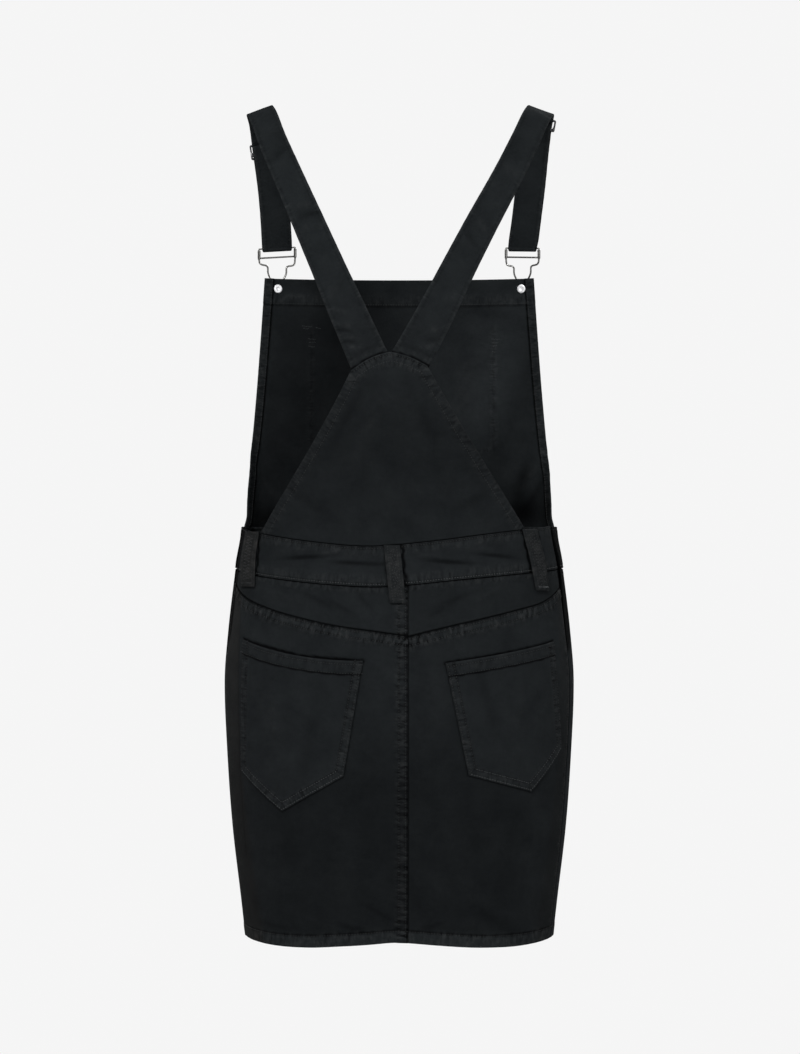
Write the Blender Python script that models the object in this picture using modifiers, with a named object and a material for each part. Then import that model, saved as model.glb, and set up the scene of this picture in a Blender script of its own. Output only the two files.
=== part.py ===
"""A short overall dress in black stretch denim, hollow, in the shape it has when worn.

Metres, +Z up. The front faces -Y and the wearer's left side is +X. The origin lies midway
between the two places where the straps rest on the shoulders, at the straps' underside.

Each cloth panel is drawn on one general figure that fills the dress. A place on that figure
is a distance along the cloth, from centre back or from centre front, and a height. A panel
is a grid between four such lines, made solid outwards by its cloth's thickness.
"""

import math
from functools import lru_cache

import bmesh
import bpy
import numpy as np
from mathutils import Matrix, Vector

# ---------------------------------------------------------------- driving dimensions
CLOTH = 0.0012  # one layer of denim
BAND = 0.0022  # waistband, straps: two layers sewn together
LOOP_CLOTH = 0.0018
SEAM = 0.0003  # between pieces that meet at a seam
LAID_ON = 0.0004  # between a panel and a piece that lies on it
UNDERLAP = 0.0010  # between the front and the placket strips behind it

WAIST = -0.428  # top of the front waistband
WAISTBAND = 0.042
HEM = -0.845
SIDE_SETBACK = {"left": 0.026, "right": 0.042}  # from the figure's side to the back's edge
NEAR_SIDE = 0.19  # about how far from centre back that edge lies, to read a line's height there

PLACKET_END = -0.555  # the side openings run from the waist down to here
GAPE = {"most": 0.0085, "below_waist": 0.044, "reach": 0.030}  # they stand open most here
PLACKET_STRIP = {"behind": 0.009, "ahead": 0.038, "below_waist": 0.004, "above_end": 0.002}
SIDE_BUTTONS = {"upper": -0.449, "lower": -0.522}  # heights
BUTTON_AHEAD = 0.026  # from the figure's side to the side buttons

STRAP_AT_BAR = {"left": 0.032, "right": 0.0305}  # its width there
STRAP_STEP = 0.0145  # between the strap's stations
UNDER_BIB = (-0.252, -0.222)  # the strap lies against the back bib below, and is free above
CLASP_ACROSS = {"left": 0.1293, "right": -0.1303}
CLASP_WIDE = {"left": 1.03, "right": 0.94}  # the right clasp is turned a little aside
BAR_DROOP = {"left": math.radians(4.8), "right": math.radians(2.5)}  # at the bars' outer ends
BUTTON_HEIGHT = -0.1745
BAR_ABOVE_BUTTON = 0.0434
SLIDER_HEIGHT = {"left": -0.034, "right": -0.0085}
BAR_RADIUS = 0.0008
PLAY = 0.0006  # between the strap and the metal it runs over
TURN_RADIUS = BAR_RADIUS + PLAY + BAND / 2  # of the strap's middle round the clasp's bar
CLASP_OUT = CLOTH + SEAM + BAR_RADIUS  # of the wire's middle from the bib's inner face
SIDE = {"left": 1, "right": -1}

# The general figure, inside the cloth: half widths and depths of its section at each height.
FIGURE = (
    # height, back half width, front half width, back depth, front depth, back power, front power
    (-0.148, 0.1500, 0.2400, 0.0980, 0.1195, 2.2, 2.0),
    (-0.208, 0.1520, 0.2150, 0.0980, 0.1235, 2.2, 2.05),
    (-0.260, 0.1540, 0.1980, 0.0970, 0.1230, 2.2, 2.1),
    (-0.312, 0.1560, 0.1860, 0.0960, 0.1160, 2.2, 2.2),
    (-0.362, 0.1570, 0.1765, 0.0965, 0.1080, 2.3, 2.3),
    (-0.400, 0.1585, 0.1690, 0.0975, 0.1025, 2.4, 2.35),
    (-0.426, 0.1600, 0.1603, 0.0990, 0.0995, 2.4, 2.4),
    (-0.440, 0.1614, 0.1614, 0.1005, 0.0988, 2.4, 2.4),
    (-0.462, 0.1655, 0.1655, 0.1030, 0.0985, 2.4, 2.4),
    (-0.487, 0.1691, 0.1691, 0.1060, 0.0990, 2.4, 2.4),
    (-0.536, 0.1747, 0.1747, 0.1110, 0.1010, 2.4, 2.4),
    (-0.586, 0.1782, 0.1782, 0.1150, 0.1030, 2.4, 2.4),
    (-0.660, 0.1754, 0.1754, 0.1150, 0.1040, 2.4, 2.4),
    (-0.734, 0.1701, 0.1701, 0.1130, 0.1040, 2.4, 2.4),
    (-0.808, 0.1613, 0.1613, 0.1110, 0.1030, 2.5, 2.4),
    (-0.848, 0.1568, 0.1568, 0.1100, 0.1020, 2.5, 2.4),
)

# The largest folds. Each is a soft ridge (or a hollow, where its depth is below zero).
FOLDS = (
    # face, along, height, half length, half width, lean in degrees, depth
    ("back", 0.000, -0.848, 0.110, 0.035, 0, -0.0090),  # the skirt dips between the legs
    ("back", 0.118, -0.800, 0.080, 0.026, -4, 0.0020),
    ("back", -0.112, -0.815, 0.075, 0.024, 5, 0.0022),
    ("back", 0.020, -0.465, 0.150, 0.010, 90, -0.0008),  # crease along the waistband
    ("front", 0.000, -0.850, 0.120, 0.045, 0, -0.0050),
    ("front", 0.095, -0.810, 0.090, 0.028, 3, 0.0025),
    ("front", -0.088, -0.820, 0.085, 0.028, -4, 0.0022),
    ("front", -0.152, -0.388, 0.030, 0.009, -34, 0.0035),  # drag line at the bib's side
    ("front", 0.148, -0.372, 0.028, 0.010, 30, 0.0020),
)

# Lines on the back, as distance from centre back (+ to the wearer's left) and height.
BACK_WAIST_TOP = (
    # along, height
    (-0.190, -0.4250),
    (-0.129, -0.4310),
    (-0.092, -0.4350),
    (-0.032, -0.4425),
    (0.027, -0.4475),
    (0.075, -0.4445),
    (0.148, -0.4350),
    (0.195, -0.4270),
)
BACK_WAIST_BOTTOM = (
    # along, height
    (-0.195, -0.4700),
    (-0.133, -0.4742),
    (-0.067, -0.4798),
    (0.016, -0.4872),
    (0.075, -0.4848),
    (0.132, -0.4792),
    (0.200, -0.4715),
)
CENTRE_SEAM = -0.0085  # the centre-back seam has shifted a little to the wearer's right
YOKE_SEAM = {
    # along, height
    "left": (
        (-0.0085, -0.5370),
        (0.020, -0.5325),
        (0.064, -0.5265),
        (0.101, -0.5188),
        (0.135, -0.5102),
        (0.168, -0.4995),
        (0.200, -0.4835),
    ),
    "right": (
        (-0.200, -0.4825),
        (-0.155, -0.5032),
        (-0.118, -0.5120),
        (-0.080, -0.5205),
        (-0.0515, -0.5268),
        (-0.0085, -0.5370),
    ),
}
BACK_HEM = (
    # along, height: the hem rises a little at the centre seam
    (-0.230, -0.8425),
    (-0.143, -0.8463),
    (-0.085, -0.8465),
    (-0.037, -0.8436),
    (0.003, -0.8418),
    (0.027, -0.8430),
    (0.059, -0.8447),
    (0.092, -0.8468),
    (0.141, -0.8465),
    (0.230, -0.8425),
)
BACK_BIB_TOP = (
    # along, height
    (-0.0277, -0.2670),
    (-0.0118, -0.2590),
    (0.0042, -0.2542),
    (0.0122, -0.2540),
    (0.0301, -0.2600),
    (0.0478, -0.2713),
)
BACK_BIB_FOOT = (-0.1319, 0.1489)  # where its slanted edges meet the waistband
BACK_BIB_BOW = (0.0035, -0.0052)  # how far the middle of each slanted edge curves in

# Half the front bib's width, measured along the cloth, down to where it turns to the side.
FRONT_BIB_EDGE = (
    # height, half width
    (-0.1640, 0.1455),
    (-0.2080, 0.1500),
    (-0.2600, 0.1558),
    (-0.3110, 0.1614),
    (-0.3620, 0.1683),
    (-0.3870, 0.1730),
    (-0.4070, 0.1780),
    (-0.4190, 0.1850),
    (-0.4283, 0.2000),
)
BIB_POCKET = {"half_width": 0.095, "top": -0.217, "bottom": -0.347}

BACK_POCKETS = {
    # corner: along, height
    "left": {
        "inner_top": (0.0359, -0.5610),
        "mid_top": (0.1000, -0.5565),
        "outer_top": (0.1683, -0.5414),
        "inner_low": (0.0552, -0.6749),
        "tip": (0.1189, -0.7115),
        "outer_low": (0.1731, -0.6728),
    },
    "right": {
        "inner_top": (-0.0460, -0.5632),
        "mid_top": (-0.1040, -0.5545),
        "outer_top": (-0.1655, -0.5436),
        "inner_low": (-0.0688, -0.6741),
        "tip": (-0.1361, -0.6925),
        "outer_low": (-0.1795, -0.6513),
    },
}

LOOP_SLACK = 0.0018  # how far a belt loop's middle stands off the waistband
LOOPS = {
    # top along, bottom along, width, reach below the waistband
    "centre": (0.0073, 0.0013, 0.0162, 0.0175),
    "left": (0.1585, 0.1620, 0.0190, 0.0130),
    "right": (-0.1355, -0.1510, 0.0190, 0.0195),
}

# The straps' centre lines, from under the back bib over the shoulder to the clasp's bar.
STRAPS = (
    # left across, right across, depth, height, outer edge's way: across, back, up; width
    (0.0281, -0.0086, 0.0942, -0.2660, 0.91, -0.05, -0.42, 0.0405),
    (0.0308, -0.0118, 0.0948, -0.2600, 0.91, -0.05, -0.42, 0.0402),
    (0.0401, -0.0235, 0.0985, -0.2390, 0.91, -0.08, -0.42, 0.0390),
    (0.0547, -0.0410, 0.1000, -0.2060, 0.91, -0.12, -0.42, 0.0370),
    (0.0680, -0.0562, 0.0990, -0.1757, 0.91, -0.16, -0.42, 0.0350),
    (0.0892, -0.0813, 0.0915, -0.1270, 0.91, -0.22, -0.41, 0.0330),
    (0.1109, -0.1079, 0.0745, -0.0770, 0.92, -0.24, -0.40, 0.0308),
    (0.1277, -0.1269, 0.0520, -0.0380, 0.93, -0.20, -0.38, 0.0295),
    (0.1378, -0.1392, 0.0275, -0.0108, 0.94, -0.10, -0.35, 0.0288),
    (0.1437, -0.1460, 0.0000, 0.0007, 0.94, 0.00, -0.34, 0.0286),
    (0.1413, -0.1445, -0.0260, -0.0087, 0.95, 0.10, -0.30, 0.0298),
    (0.1383, -0.1418, -0.0480, -0.0320, 0.96, 0.18, -0.20, 0.0312),
    (0.1335, -0.1385, -0.0700, -0.0705, 0.96, 0.24, -0.10, 0.0320),
    (0.1312, -0.1348, -0.0880, -0.1067, 0.95, 0.30, -0.03, 0.0320),
)

STRAP_TWIST = {"left": 1.0, "right": 1.6}  # how far the front stretch turns to the side

COLLECTION = "Overall dress"


# ---------------------------------------------------------------- scene and materials
for old in list(bpy.data.objects):
    bpy.data.objects.remove(old, do_unlink=True)

dress = bpy.data.collections.new(COLLECTION)
cutters = bpy.data.collections.new("Cutters")
bpy.context.scene.collection.children.link(dress)
bpy.context.scene.collection.children.link(cutters)


def material(name, colour, roughness, metallic):
    made = bpy.data.materials.new(name)
    made.use_nodes = True
    shader = made.node_tree.nodes["Principled BSDF"]
    shader.inputs["Base Color"].default_value = (*colour, 1.0)
    shader.inputs["Roughness"].default_value = roughness
    shader.inputs["Metallic"].default_value = metallic
    return made


DENIM = material("Black denim", (0.013, 0.014, 0.015), 0.88, 0.0)
NICKEL = material("Dark nickel", (0.10, 0.10, 0.11), 0.32, 1.0)
SILVER = material("Silver rivet", (0.62, 0.62, 0.63), 0.30, 1.0)


def add(name, mesh, look):
    """A new object of the dress with this mesh and material."""
    mesh.materials.append(look)
    made = bpy.data.objects.new(name, mesh)
    dress.objects.link(made)
    return made


# ---------------------------------------------------------------- the figure
def smooth_table(table, at):
    """The table's other columns at a place in its first column, on a smooth curve."""
    rows = np.asarray(table)
    if rows[0, 0] > rows[-1, 0]:
        rows = rows[::-1]
    places = rows[:, 0]
    at = min(max(at, places[0]), places[-1])
    low = min(int(np.searchsorted(places, at, side="right")) - 1, len(places) - 2)
    step = places[low + 1] - places[low]
    part = (at - places[low]) / step

    def slope(index):
        before = max(index - 1, 0)
        after = min(index + 1, len(places) - 1)
        return (rows[after, 1:] - rows[before, 1:]) / (places[after] - places[before])

    rise = part * part * (3 - 2 * part)
    from_low = part * (1 - part) ** 2 * step * slope(low)
    from_high = part * part * (1 - part) * step * slope(low + 1)
    return rows[low, 1:] * (1 - rise) + rows[low + 1, 1:] * rise + from_low - from_high


@lru_cache(maxsize=None)
def half_section(height):
    """The figure's left half at one height, from centre back to centre front.

    Returns x, y, the distance along it, and the index of its last point on the back.
    """
    back_width, front_width, back_depth, front_depth, back_power, front_power = smooth_table(
        FIGURE, height
    )
    angle = np.linspace(0, math.pi, 1201)
    back = angle <= math.pi / 2
    width = np.where(back, back_width, front_width)
    depth = np.where(back, back_depth, -front_depth)
    power = 2 / np.where(back, back_power, front_power)
    x = width * np.sin(angle).clip(0) ** power
    y = depth * np.abs(np.cos(angle)) ** power
    distance = np.concatenate([[0.0], np.cumsum(np.hypot(np.diff(x), np.diff(y)))])
    return x, y, distance, int(back.sum()) - 1


def back_quarter(height):
    """The distance along the cloth from centre back to the figure's side."""
    _, _, distance, side = half_section(height)
    return float(distance[side])


def front_quarter(height):
    """The distance along the cloth from centre front to the figure's side."""
    _, _, distance, side = half_section(height)
    return float(distance[-1] - distance[side + 1])


def fold(face, along, height):
    """How far the folds push the cloth out at this place."""
    out = 0.0
    for fold_face, at, up, half_length, half_width, lean, depth in FOLDS:
        if fold_face == face:
            turn = math.radians(lean)
            across = (along - at) * math.cos(turn) - (height - up) * math.sin(turn)
            down = (along - at) * math.sin(turn) + (height - up) * math.cos(turn)
            out += depth * math.exp(-((across / half_width) ** 2) - (down / half_length) ** 2)
    return out


def bare(face, along, height):
    """The figure's point at a signed distance from centre back or centre front."""
    x, y, distance, side = half_section(height)
    reach = abs(along) if face == "back" else float(distance[-1]) - abs(along)
    across = math.copysign(float(np.interp(reach, distance, x)), along)
    return Vector((across, float(np.interp(reach, distance, y)), height))


def on_cloth(face, along, height, out=0.0):
    """The point of the inner face of the cloth, moved `out` from it along its normal."""
    step = 0.0015
    along_way = bare(face, along + step, height) - bare(face, along - step, height)
    up_way = bare(face, along, height + step) - bare(face, along, height - step)
    normal = up_way.cross(along_way).normalized()
    if face == "front":
        normal.negate()
    return bare(face, along, height) + normal * (out + fold(face, along, height))


# ---------------------------------------------------------------- cloth panels
def lerp(a, b, t):
    return a + (b - a) * t


def line(table, start, end, shift=0.0):
    """A line on the cloth read from a table of heights, between two distances along it."""
    return lambda t: (
        lerp(start, end, t),
        float(smooth_table(table, lerp(start, end, t))[0]) + shift,
    )


def straight(start, end):
    return lambda t: (lerp(start[0], end[0], t), lerp(start[1], end[1], t))


def bowed(start, end, bow):
    """A straight line whose middle is moved along the cloth by `bow`."""
    return lambda t: (
        lerp(start[0], end[0], t) + 4 * bow * t * (1 - t),
        lerp(start[1], end[1], t),
    )


def edge(distance_at, low, high):
    """A line up the cloth between two heights, at the distance that a function gives."""
    return lambda t: (distance_at(lerp(low, high, t)), lerp(low, high, t))


def patch(first, last, bottom, top):
    """The place (along, height) at u, v from 0 to 1 between four lines that meet at corners."""
    corners = (bottom(0), bottom(1), top(0), top(1))

    def place(u, v):
        return tuple(
            lerp(bottom(u)[k], top(u)[k], v)
            + lerp(first(v)[k], last(v)[k], u)
            - lerp(
                lerp(corners[0][k], corners[1][k], u),
                lerp(corners[2][k], corners[3][k], u),
                v,
            )
            for k in (0, 1)
        )

    return place


def sheet(name, point, columns, rows, thickness, look, centred=False):
    """A solid sheet of cloth on a grid: point(u, v) gives the place of its inner face.

    Seen from outside, u runs from right to left and v runs up.
    """
    made = bmesh.new()
    grid = [
        [made.verts.new(point(i / columns, j / rows)) for j in range(rows + 1)]
        for i in range(columns + 1)
    ]
    for i in range(columns):
        for j in range(rows):
            made.faces.new((grid[i][j], grid[i][j + 1], grid[i + 1][j + 1], grid[i + 1][j]))
    mesh = bpy.data.meshes.new(name)
    made.to_mesh(mesh)
    made.free()
    mesh.shade_smooth()
    cloth = add(name, mesh, look)
    solid = cloth.modifiers.new("Thickness", "SOLIDIFY")
    solid.thickness = thickness
    solid.offset = 0.0 if centred else 1.0
    solid.use_even_offset = True
    return cloth


def panel(name, face, place, columns, rows, thickness=CLOTH, out=0.0, ease=1.0):
    """A panel of cloth on the figure. An ease above 1 sets its rows closer at the bottom."""
    return sheet(
        name,
        lambda u, v: on_cloth(face, *place(u, v**ease), out),
        columns,
        rows,
        thickness,
        DENIM,
    )


def back_edge(side):
    """The distance from centre back to the back's side edge, as a function of height."""
    return lambda height: SIDE[side] * (back_quarter(height) - SIDE_SETBACK[side])


def height_at_side(table, side):
    """The height of a line of the back where it meets the back's side edge."""
    return float(smooth_table(table, SIDE[side] * NEAR_SIDE)[0])


def side_end(table, side):
    """The distance from centre back at which a line meets the back's side edge."""
    return back_edge(side)(height_at_side(table, side))


def in_order(side, inner, outer):
    """The two ends of a line on one half of the back, in the order that a sheet runs."""
    return (inner, outer) if side == "left" else (outer, inner)


def gape(height):
    """How far the placket stands open at a height."""
    if height < PLACKET_END:
        return SEAM
    from_widest = (height - WAIST + GAPE["below_waist"]) / GAPE["reach"]
    return 2 * SEAM + GAPE["most"] * math.exp(-(from_widest**2))


def front_edge(side):
    """The distance from centre front to the front's side edge, as a function of height."""
    return lambda height: SIDE[side] * (
        front_quarter(height) + SIDE_SETBACK[side] - gape(height)
    )


def make_back_bib():
    low, high = BACK_BIB_FOOT
    bottom = line(BACK_WAIST_TOP, low, high, SEAM)
    top = line(BACK_BIB_TOP, BACK_BIB_TOP[0][0], BACK_BIB_TOP[-1][0])
    sides = [bowed(bottom(t), top(t), bow) for t, bow in enumerate(BACK_BIB_BOW)]
    return panel("bib_back", "back", patch(*sides, bottom, top), 14, 9)


def make_back_waistband():
    bottom = line(BACK_WAIST_BOTTOM, *(side_end(BACK_WAIST_BOTTOM, side) for side in ("right", "left")))
    top = line(BACK_WAIST_TOP, *(side_end(BACK_WAIST_TOP, side) for side in ("right", "left")))
    sides = straight(bottom(0), top(0)), straight(bottom(1), top(1))
    return panel("waistband_back", "back", patch(*sides, bottom, top), 26, 3, BAND)


def make_yoke(side):
    inner = CENTRE_SEAM + SIDE[side] * SEAM / 2
    seam = YOKE_SEAM[side]
    bottom = line(seam, *in_order(side, inner, side_end(seam, side)), SEAM)
    waist_end = side_end(BACK_WAIST_BOTTOM, side)
    top = line(BACK_WAIST_BOTTOM, *in_order(side, inner, waist_end), -SEAM)
    sides = straight(bottom(0), top(0)), straight(bottom(1), top(1))
    return panel(f"yoke_{side}", "back", patch(*sides, bottom, top), 13, 3)


def make_back_skirt(side):
    inner = CENTRE_SEAM + SIDE[side] * SEAM / 2
    seam = YOKE_SEAM[side]
    bottom = line(BACK_HEM, *in_order(side, inner, side_end(BACK_HEM, side)))
    top = line(seam, *in_order(side, inner, side_end(seam, side)), -SEAM)
    sides = [straight(bottom(t), top(t)) for t in (0, 1)]
    outer = 1 if side == "left" else 0
    sides[outer] = edge(back_edge(side), bottom(outer)[1], top(outer)[1])
    return panel(f"skirt_back_{side}", "back", patch(*sides, bottom, top), 13, 13)


def make_front_skirt():
    top = WAIST - WAISTBAND - SEAM
    left, right = front_edge("left"), front_edge("right")
    place = patch(
        edge(left, HEM, top),
        edge(right, HEM, top),
        straight((left(HEM), HEM), (right(HEM), HEM)),
        straight((left(top), top), (right(top), top)),
    )
    return panel("skirt_front", "front", place, 28, 15)


def make_front_waistband():
    low, high = WAIST - WAISTBAND, WAIST
    left, right = front_edge("left"), front_edge("right")
    place = patch(
        edge(left, low, high),
        edge(right, low, high),
        straight((left(low), low), (right(low), low)),
        straight((left(high), high), (right(high), high)),
    )
    return panel("waistband_front", "front", place, 28, 2, BAND)


def make_front_bib():
    def half_width(height):
        return float(smooth_table(FRONT_BIB_EDGE, height)[0])

    low, high = WAIST + 2 * SEAM, FRONT_BIB_EDGE[0][0]
    place = patch(
        edge(half_width, low, high),
        edge(lambda height: -half_width(height), low, high),
        straight((half_width(low), low), (-half_width(low), low)),
        straight((half_width(high), high), (-half_width(high), high)),
    )
    return panel("bib_front", "front", place, 24, 13, ease=1.35)


def make_bib_pocket():
    half, low, high = BIB_POCKET["half_width"], BIB_POCKET["bottom"], BIB_POCKET["top"]
    place = patch(
        straight((half, low), (half, high)),
        straight((-half, low), (-half, high)),
        straight((half, low), (-half, low)),
        straight((half, high), (-half, high)),
    )
    return panel("bib_pocket", "front", place, 12, 6, out=CLOTH + LAID_ON)


def make_back_pocket(side):
    corner = BACK_POCKETS[side]
    first, last = ("inner", "outer") if side == "left" else ("outer", "inner")

    def bottom(t):
        if t < 0.5:
            return straight(corner[f"{first}_low"], corner["tip"])(2 * t)
        return straight(corner["tip"], corner[f"{last}_low"])(2 * t - 1)

    def top(t):
        start, middle, end = corner[f"{first}_top"], corner["mid_top"], corner[f"{last}_top"]
        return tuple(
            (1 - t) * (1 - 2 * t) * start[k] + 4 * t * (1 - t) * middle[k] + t * (2 * t - 1) * end[k]
            for k in (0, 1)
        )

    sides = straight(bottom(0), top(0)), straight(bottom(1), top(1))
    place = patch(*sides, bottom, top)
    return panel(f"pocket_{side}", "back", place, 10, 8, out=CLOTH + LAID_ON)


def make_placket_shield(side):
    """The strip under a side opening that the front buttons to."""
    low = PLACKET_END + PLACKET_STRIP["above_end"]
    high = WAIST - PLACKET_STRIP["below_waist"]

    def rear(height):
        return SIDE[side] * (back_quarter(height) - SIDE_SETBACK[side] - PLACKET_STRIP["behind"])

    def fore(height):
        return SIDE[side] * (back_quarter(height) + PLACKET_STRIP["ahead"])

    first, last = (rear, fore) if side == "left" else (fore, rear)
    place = patch(
        edge(first, low, high),
        edge(last, low, high),
        straight((first(low), low), (last(low), low)),
        straight((first(high), high), (last(high), high)),
    )
    return panel(f"placket_{side}", "back", place, 8, 6, out=-CLOTH - UNDERLAP)


def make_belt_loop(name):
    top_along, low_along, width, drop = LOOPS[name]
    top = float(smooth_table(BACK_WAIST_TOP, top_along)[0])
    low = float(smooth_table(BACK_WAIST_BOTTOM, low_along)[0]) - drop
    half = width / 2

    def point(u, v):
        along = lerp(low_along, top_along, v) + lerp(-half, half, u)
        # It stands off for a belt, and comes down onto the yoke past the waistband's edge.
        off = BAND + LAID_ON + LOOP_SLACK * math.sin(math.pi * v) ** 2
        return on_cloth("back", along, lerp(low, top, v), off)

    return sheet(f"loop_{name}", point, 3, 8, LOOP_CLOTH, DENIM)


# ---------------------------------------------------------------- straps
class Way:
    """A station of a ribbon: its point, outward normal, the way across it, and its width."""

    def __init__(self, point, normal, across, width):
        self.point = point
        self.normal = normal
        self.across = across
        self.width = width

    def turned(self, out):
        """Moved by `out`, with its face turned round, for cloth that runs back on itself."""
        return Way(self.point + self.normal * out, -self.normal, self.across, self.width)


def clasp_frame(side):
    """The clasp's own axes: across, up and out of the bib, with the origin at its button."""
    along = along_at("front", CLASP_ACROSS[side], BUTTON_HEIGHT)
    place = on_cloth("front", along, BUTTON_HEIGHT)
    out = (on_cloth("front", along, BUTTON_HEIGHT, 0.01) - place).normalized()
    across = Vector((0, 0, 1)).cross(out).normalized()
    up = out.cross(across)
    axes = Matrix((across, up, out)).transposed()
    return Matrix.Translation(place) @ axes.to_4x4()


def along_at(face, across, height):
    """The distance from the face's centre at which the cloth lies this far across."""
    x, _, distance, side = half_section(height)
    if face == "back":
        reach = np.interp(abs(across), x[: side + 1], distance[: side + 1])
    else:
        from_centre = distance[-1] - distance[side + 1 :]
        reach = np.interp(abs(across), x[side + 1 :][::-1], from_centre[::-1])
    return math.copysign(float(reach), across)


TO_BAR = 0.020  # the last stretch of the strap, which turns square to the clasp's bar
TURN_STEPS = 7
PAST_SLIDER = 0.010  # how far the strap's end reaches beyond the slider
OPENS_OVER = 0.022  # the strap's two layers part over this length at the bar and the slider
APART_AT_SLIDER = 0.0054  # between the two layers' middles


def strap_course(side):
    """The strap's courses in order: down to the clasp's bar, round it, and up to the slider."""
    column = 0 if side == "left" else 1
    twist = STRAP_TWIST[side]
    frame = clasp_frame(side)
    bar = frame @ Vector((0, BAR_ABOVE_BUTTON, CLASP_OUT))
    out = (frame.to_3x3() @ Vector((0, 0, 1))).normalized()
    droop = BAR_DROOP[side]
    outer_edge = frame.to_3x3() @ Vector((SIDE[side] * math.cos(droop), -math.sin(droop), 0))
    knots = [
        (
            Vector((row[column], row[2], row[3])),
            Vector((SIDE[side] * row[4], row[5] * (twist if row[2] < 0 else 1), row[6])),
            row[7],
        )
        for row in STRAPS
    ]
    knots.append((bar + out * TURN_RADIUS, outer_edge, STRAP_AT_BAR[side]))

    places = [0.0]
    for before, after in zip(knots, knots[1:]):
        places.append(places[-1] + (after[0] - before[0]).length)
    table = [
        (place, *point, *outer, width)
        for place, (point, outer, width) in zip(places, knots)
    ]

    def way(place):
        values = smooth_table(table, place)
        ahead = smooth_table(table, place + 0.001)[:3] - smooth_table(table, place - 0.001)[:3]
        tangent = Vector(ahead).normalized()
        outer = Vector(values[3:6])
        outer = (outer - tangent * outer.dot(tangent)).normalized()
        normal = (tangent.cross(outer) * SIDE[side]).normalized()
        at_bar = max(0.0, 1 - (places[-1] - place) / TO_BAR)
        normal = normal.lerp(out, at_bar).normalized()
        outer = outer.lerp(outer_edge, at_bar).normalized()
        return Way(Vector(values[:3]), normal, outer, float(values[6]))

    count = round(places[-1] / STRAP_STEP)
    down = [way(places[-1] * k / count) for k in range(count + 1)]

    round_bar = []
    lowest = down[-1]
    bar_point = lowest.point - lowest.normal * TURN_RADIUS
    onward = lowest.across.cross(lowest.normal) * SIDE[side]
    for k in range(1, TURN_STEPS):
        angle = math.pi * k / TURN_STEPS
        normal = lowest.normal * math.cos(angle) + onward * math.sin(angle)
        round_bar.append(Way(bar_point + normal * TURN_RADIUS, normal, lowest.across, lowest.width))

    slider_place = min(
        (place for place in np.arange(0, places[-1], 0.0005) if way(place).point.y < -0.01),
        key=lambda place: abs(way(place).point.z - SLIDER_HEIGHT[side]),
    )
    run = places[-1] - slider_place + PAST_SLIDER
    steps = round(run / STRAP_STEP)
    back_up = []
    for k in range(steps + 1):
        place = places[-1] - run * k / steps
        from_bar = (places[-1] - place) / OPENS_OVER
        from_slider = (place - slider_place) / OPENS_OVER
        apart = max(
            lerp(BAND + PLAY, 2 * TURN_RADIUS, math.exp(-(from_bar**2))),
            lerp(BAND + PLAY, APART_AT_SLIDER, math.exp(-(from_slider**2))),
        )
        back_up.append(way(place).turned(-apart))
    return down + round_bar + back_up, way(slider_place)


def make_strap(side, course):
    def point(u, v):
        station = course[round(v * (len(course) - 1))]
        half = station.width / 2 * SIDE[side]
        free = station.point + station.across * lerp(-half, half, u)
        if free.y < 0 or free.z > UNDER_BIB[1]:
            return free
        along = along_at("back", free.x, free.z)
        tucked = on_cloth("back", along, free.z, -SEAM - LAID_ON - BAND / 2)
        t = min((UNDER_BIB[1] - free.z) / (UNDER_BIB[1] - UNDER_BIB[0]), 1)
        return free.lerp(tucked, t * t * (3 - 2 * t))

    return sheet(f"strap_{side}", point, 2, len(course) - 1, BAND, DENIM, centred=True)


# ---------------------------------------------------------------- metal
def unite(target, helpers):
    """Joins closed helper meshes into the target, and hides them as cutters."""
    for helper in helpers:
        helper.hide_render = True
        helper.display_type = "WIRE"
        joint = target.modifiers.new(f"With {helper.name}", "BOOLEAN")
        joint.operation = "UNION"
        joint.object = helper


def helper_object(name, mesh, matrix):
    made = bpy.data.objects.new(name, mesh)
    made.matrix_world = matrix
    cutters.objects.link(made)
    return made


def rod(name, start, end, radius, sides, matrix):
    """A closed cylinder between two points of a local frame."""
    made = bmesh.new()
    axis = end - start
    turn = axis.to_track_quat("Z", "Y").to_matrix().to_4x4()
    place = Matrix.Translation((start + end) / 2) @ turn
    bmesh.ops.create_cone(
        made,
        cap_ends=True,
        segments=sides,
        radius1=radius,
        radius2=radius,
        depth=axis.length,
        matrix=place,
    )
    mesh = bpy.data.meshes.new(name)
    made.to_mesh(mesh)
    made.free()
    return helper_object(name, mesh, matrix)


def box(name, low, high, matrix):
    """A closed box between two corners of a local frame."""
    made = bmesh.new()
    size = high - low
    place = Matrix.Translation((low + high) / 2) @ Matrix.Diagonal((*size, 1.0))
    bmesh.ops.create_cube(made, size=1.0, matrix=place)
    mesh = bpy.data.meshes.new(name)
    made.to_mesh(mesh)
    made.free()
    return helper_object(name, mesh, matrix)


LOWER_BAR = {"up": 0.0337, "radius": 0.0007}
DROOPS_ABOVE = (0.0268, 0.0325)  # the wire is level below the first height, and droops above
CLASP_WIRE = (
    # across, up, thickness: half of the closed wire, from its bar's end down to the keyhole
    (0.0195, 0.0434, 1.0),
    (0.0195, 0.0419, 1.0),
    (0.0195, 0.0417, 2.0),
    (0.0195, 0.0327, 2.0),
    (0.0195, 0.0325, 1.0),
    (0.0192, 0.0282, 1.0),
    (0.0182, 0.0262, 1.0),
    (0.0162, 0.0252, 1.0),
    (0.0122, 0.0247, 1.0),
    (0.0105, 0.0237, 1.0),
    (0.0099, 0.0216, 1.0),
    (0.0101, 0.0180, 1.0),
    (0.0093, 0.0147, 1.0),
    (0.0073, 0.0112, 1.0),
    (0.0054, 0.0080, 1.0),
    (0.0047, 0.0050, 1.0),
    (0.0047, 0.0010, 1.0),
    (0.0036, -0.0030, 1.0),
    (0.0000, -0.0050, 1.0),
)


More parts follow.
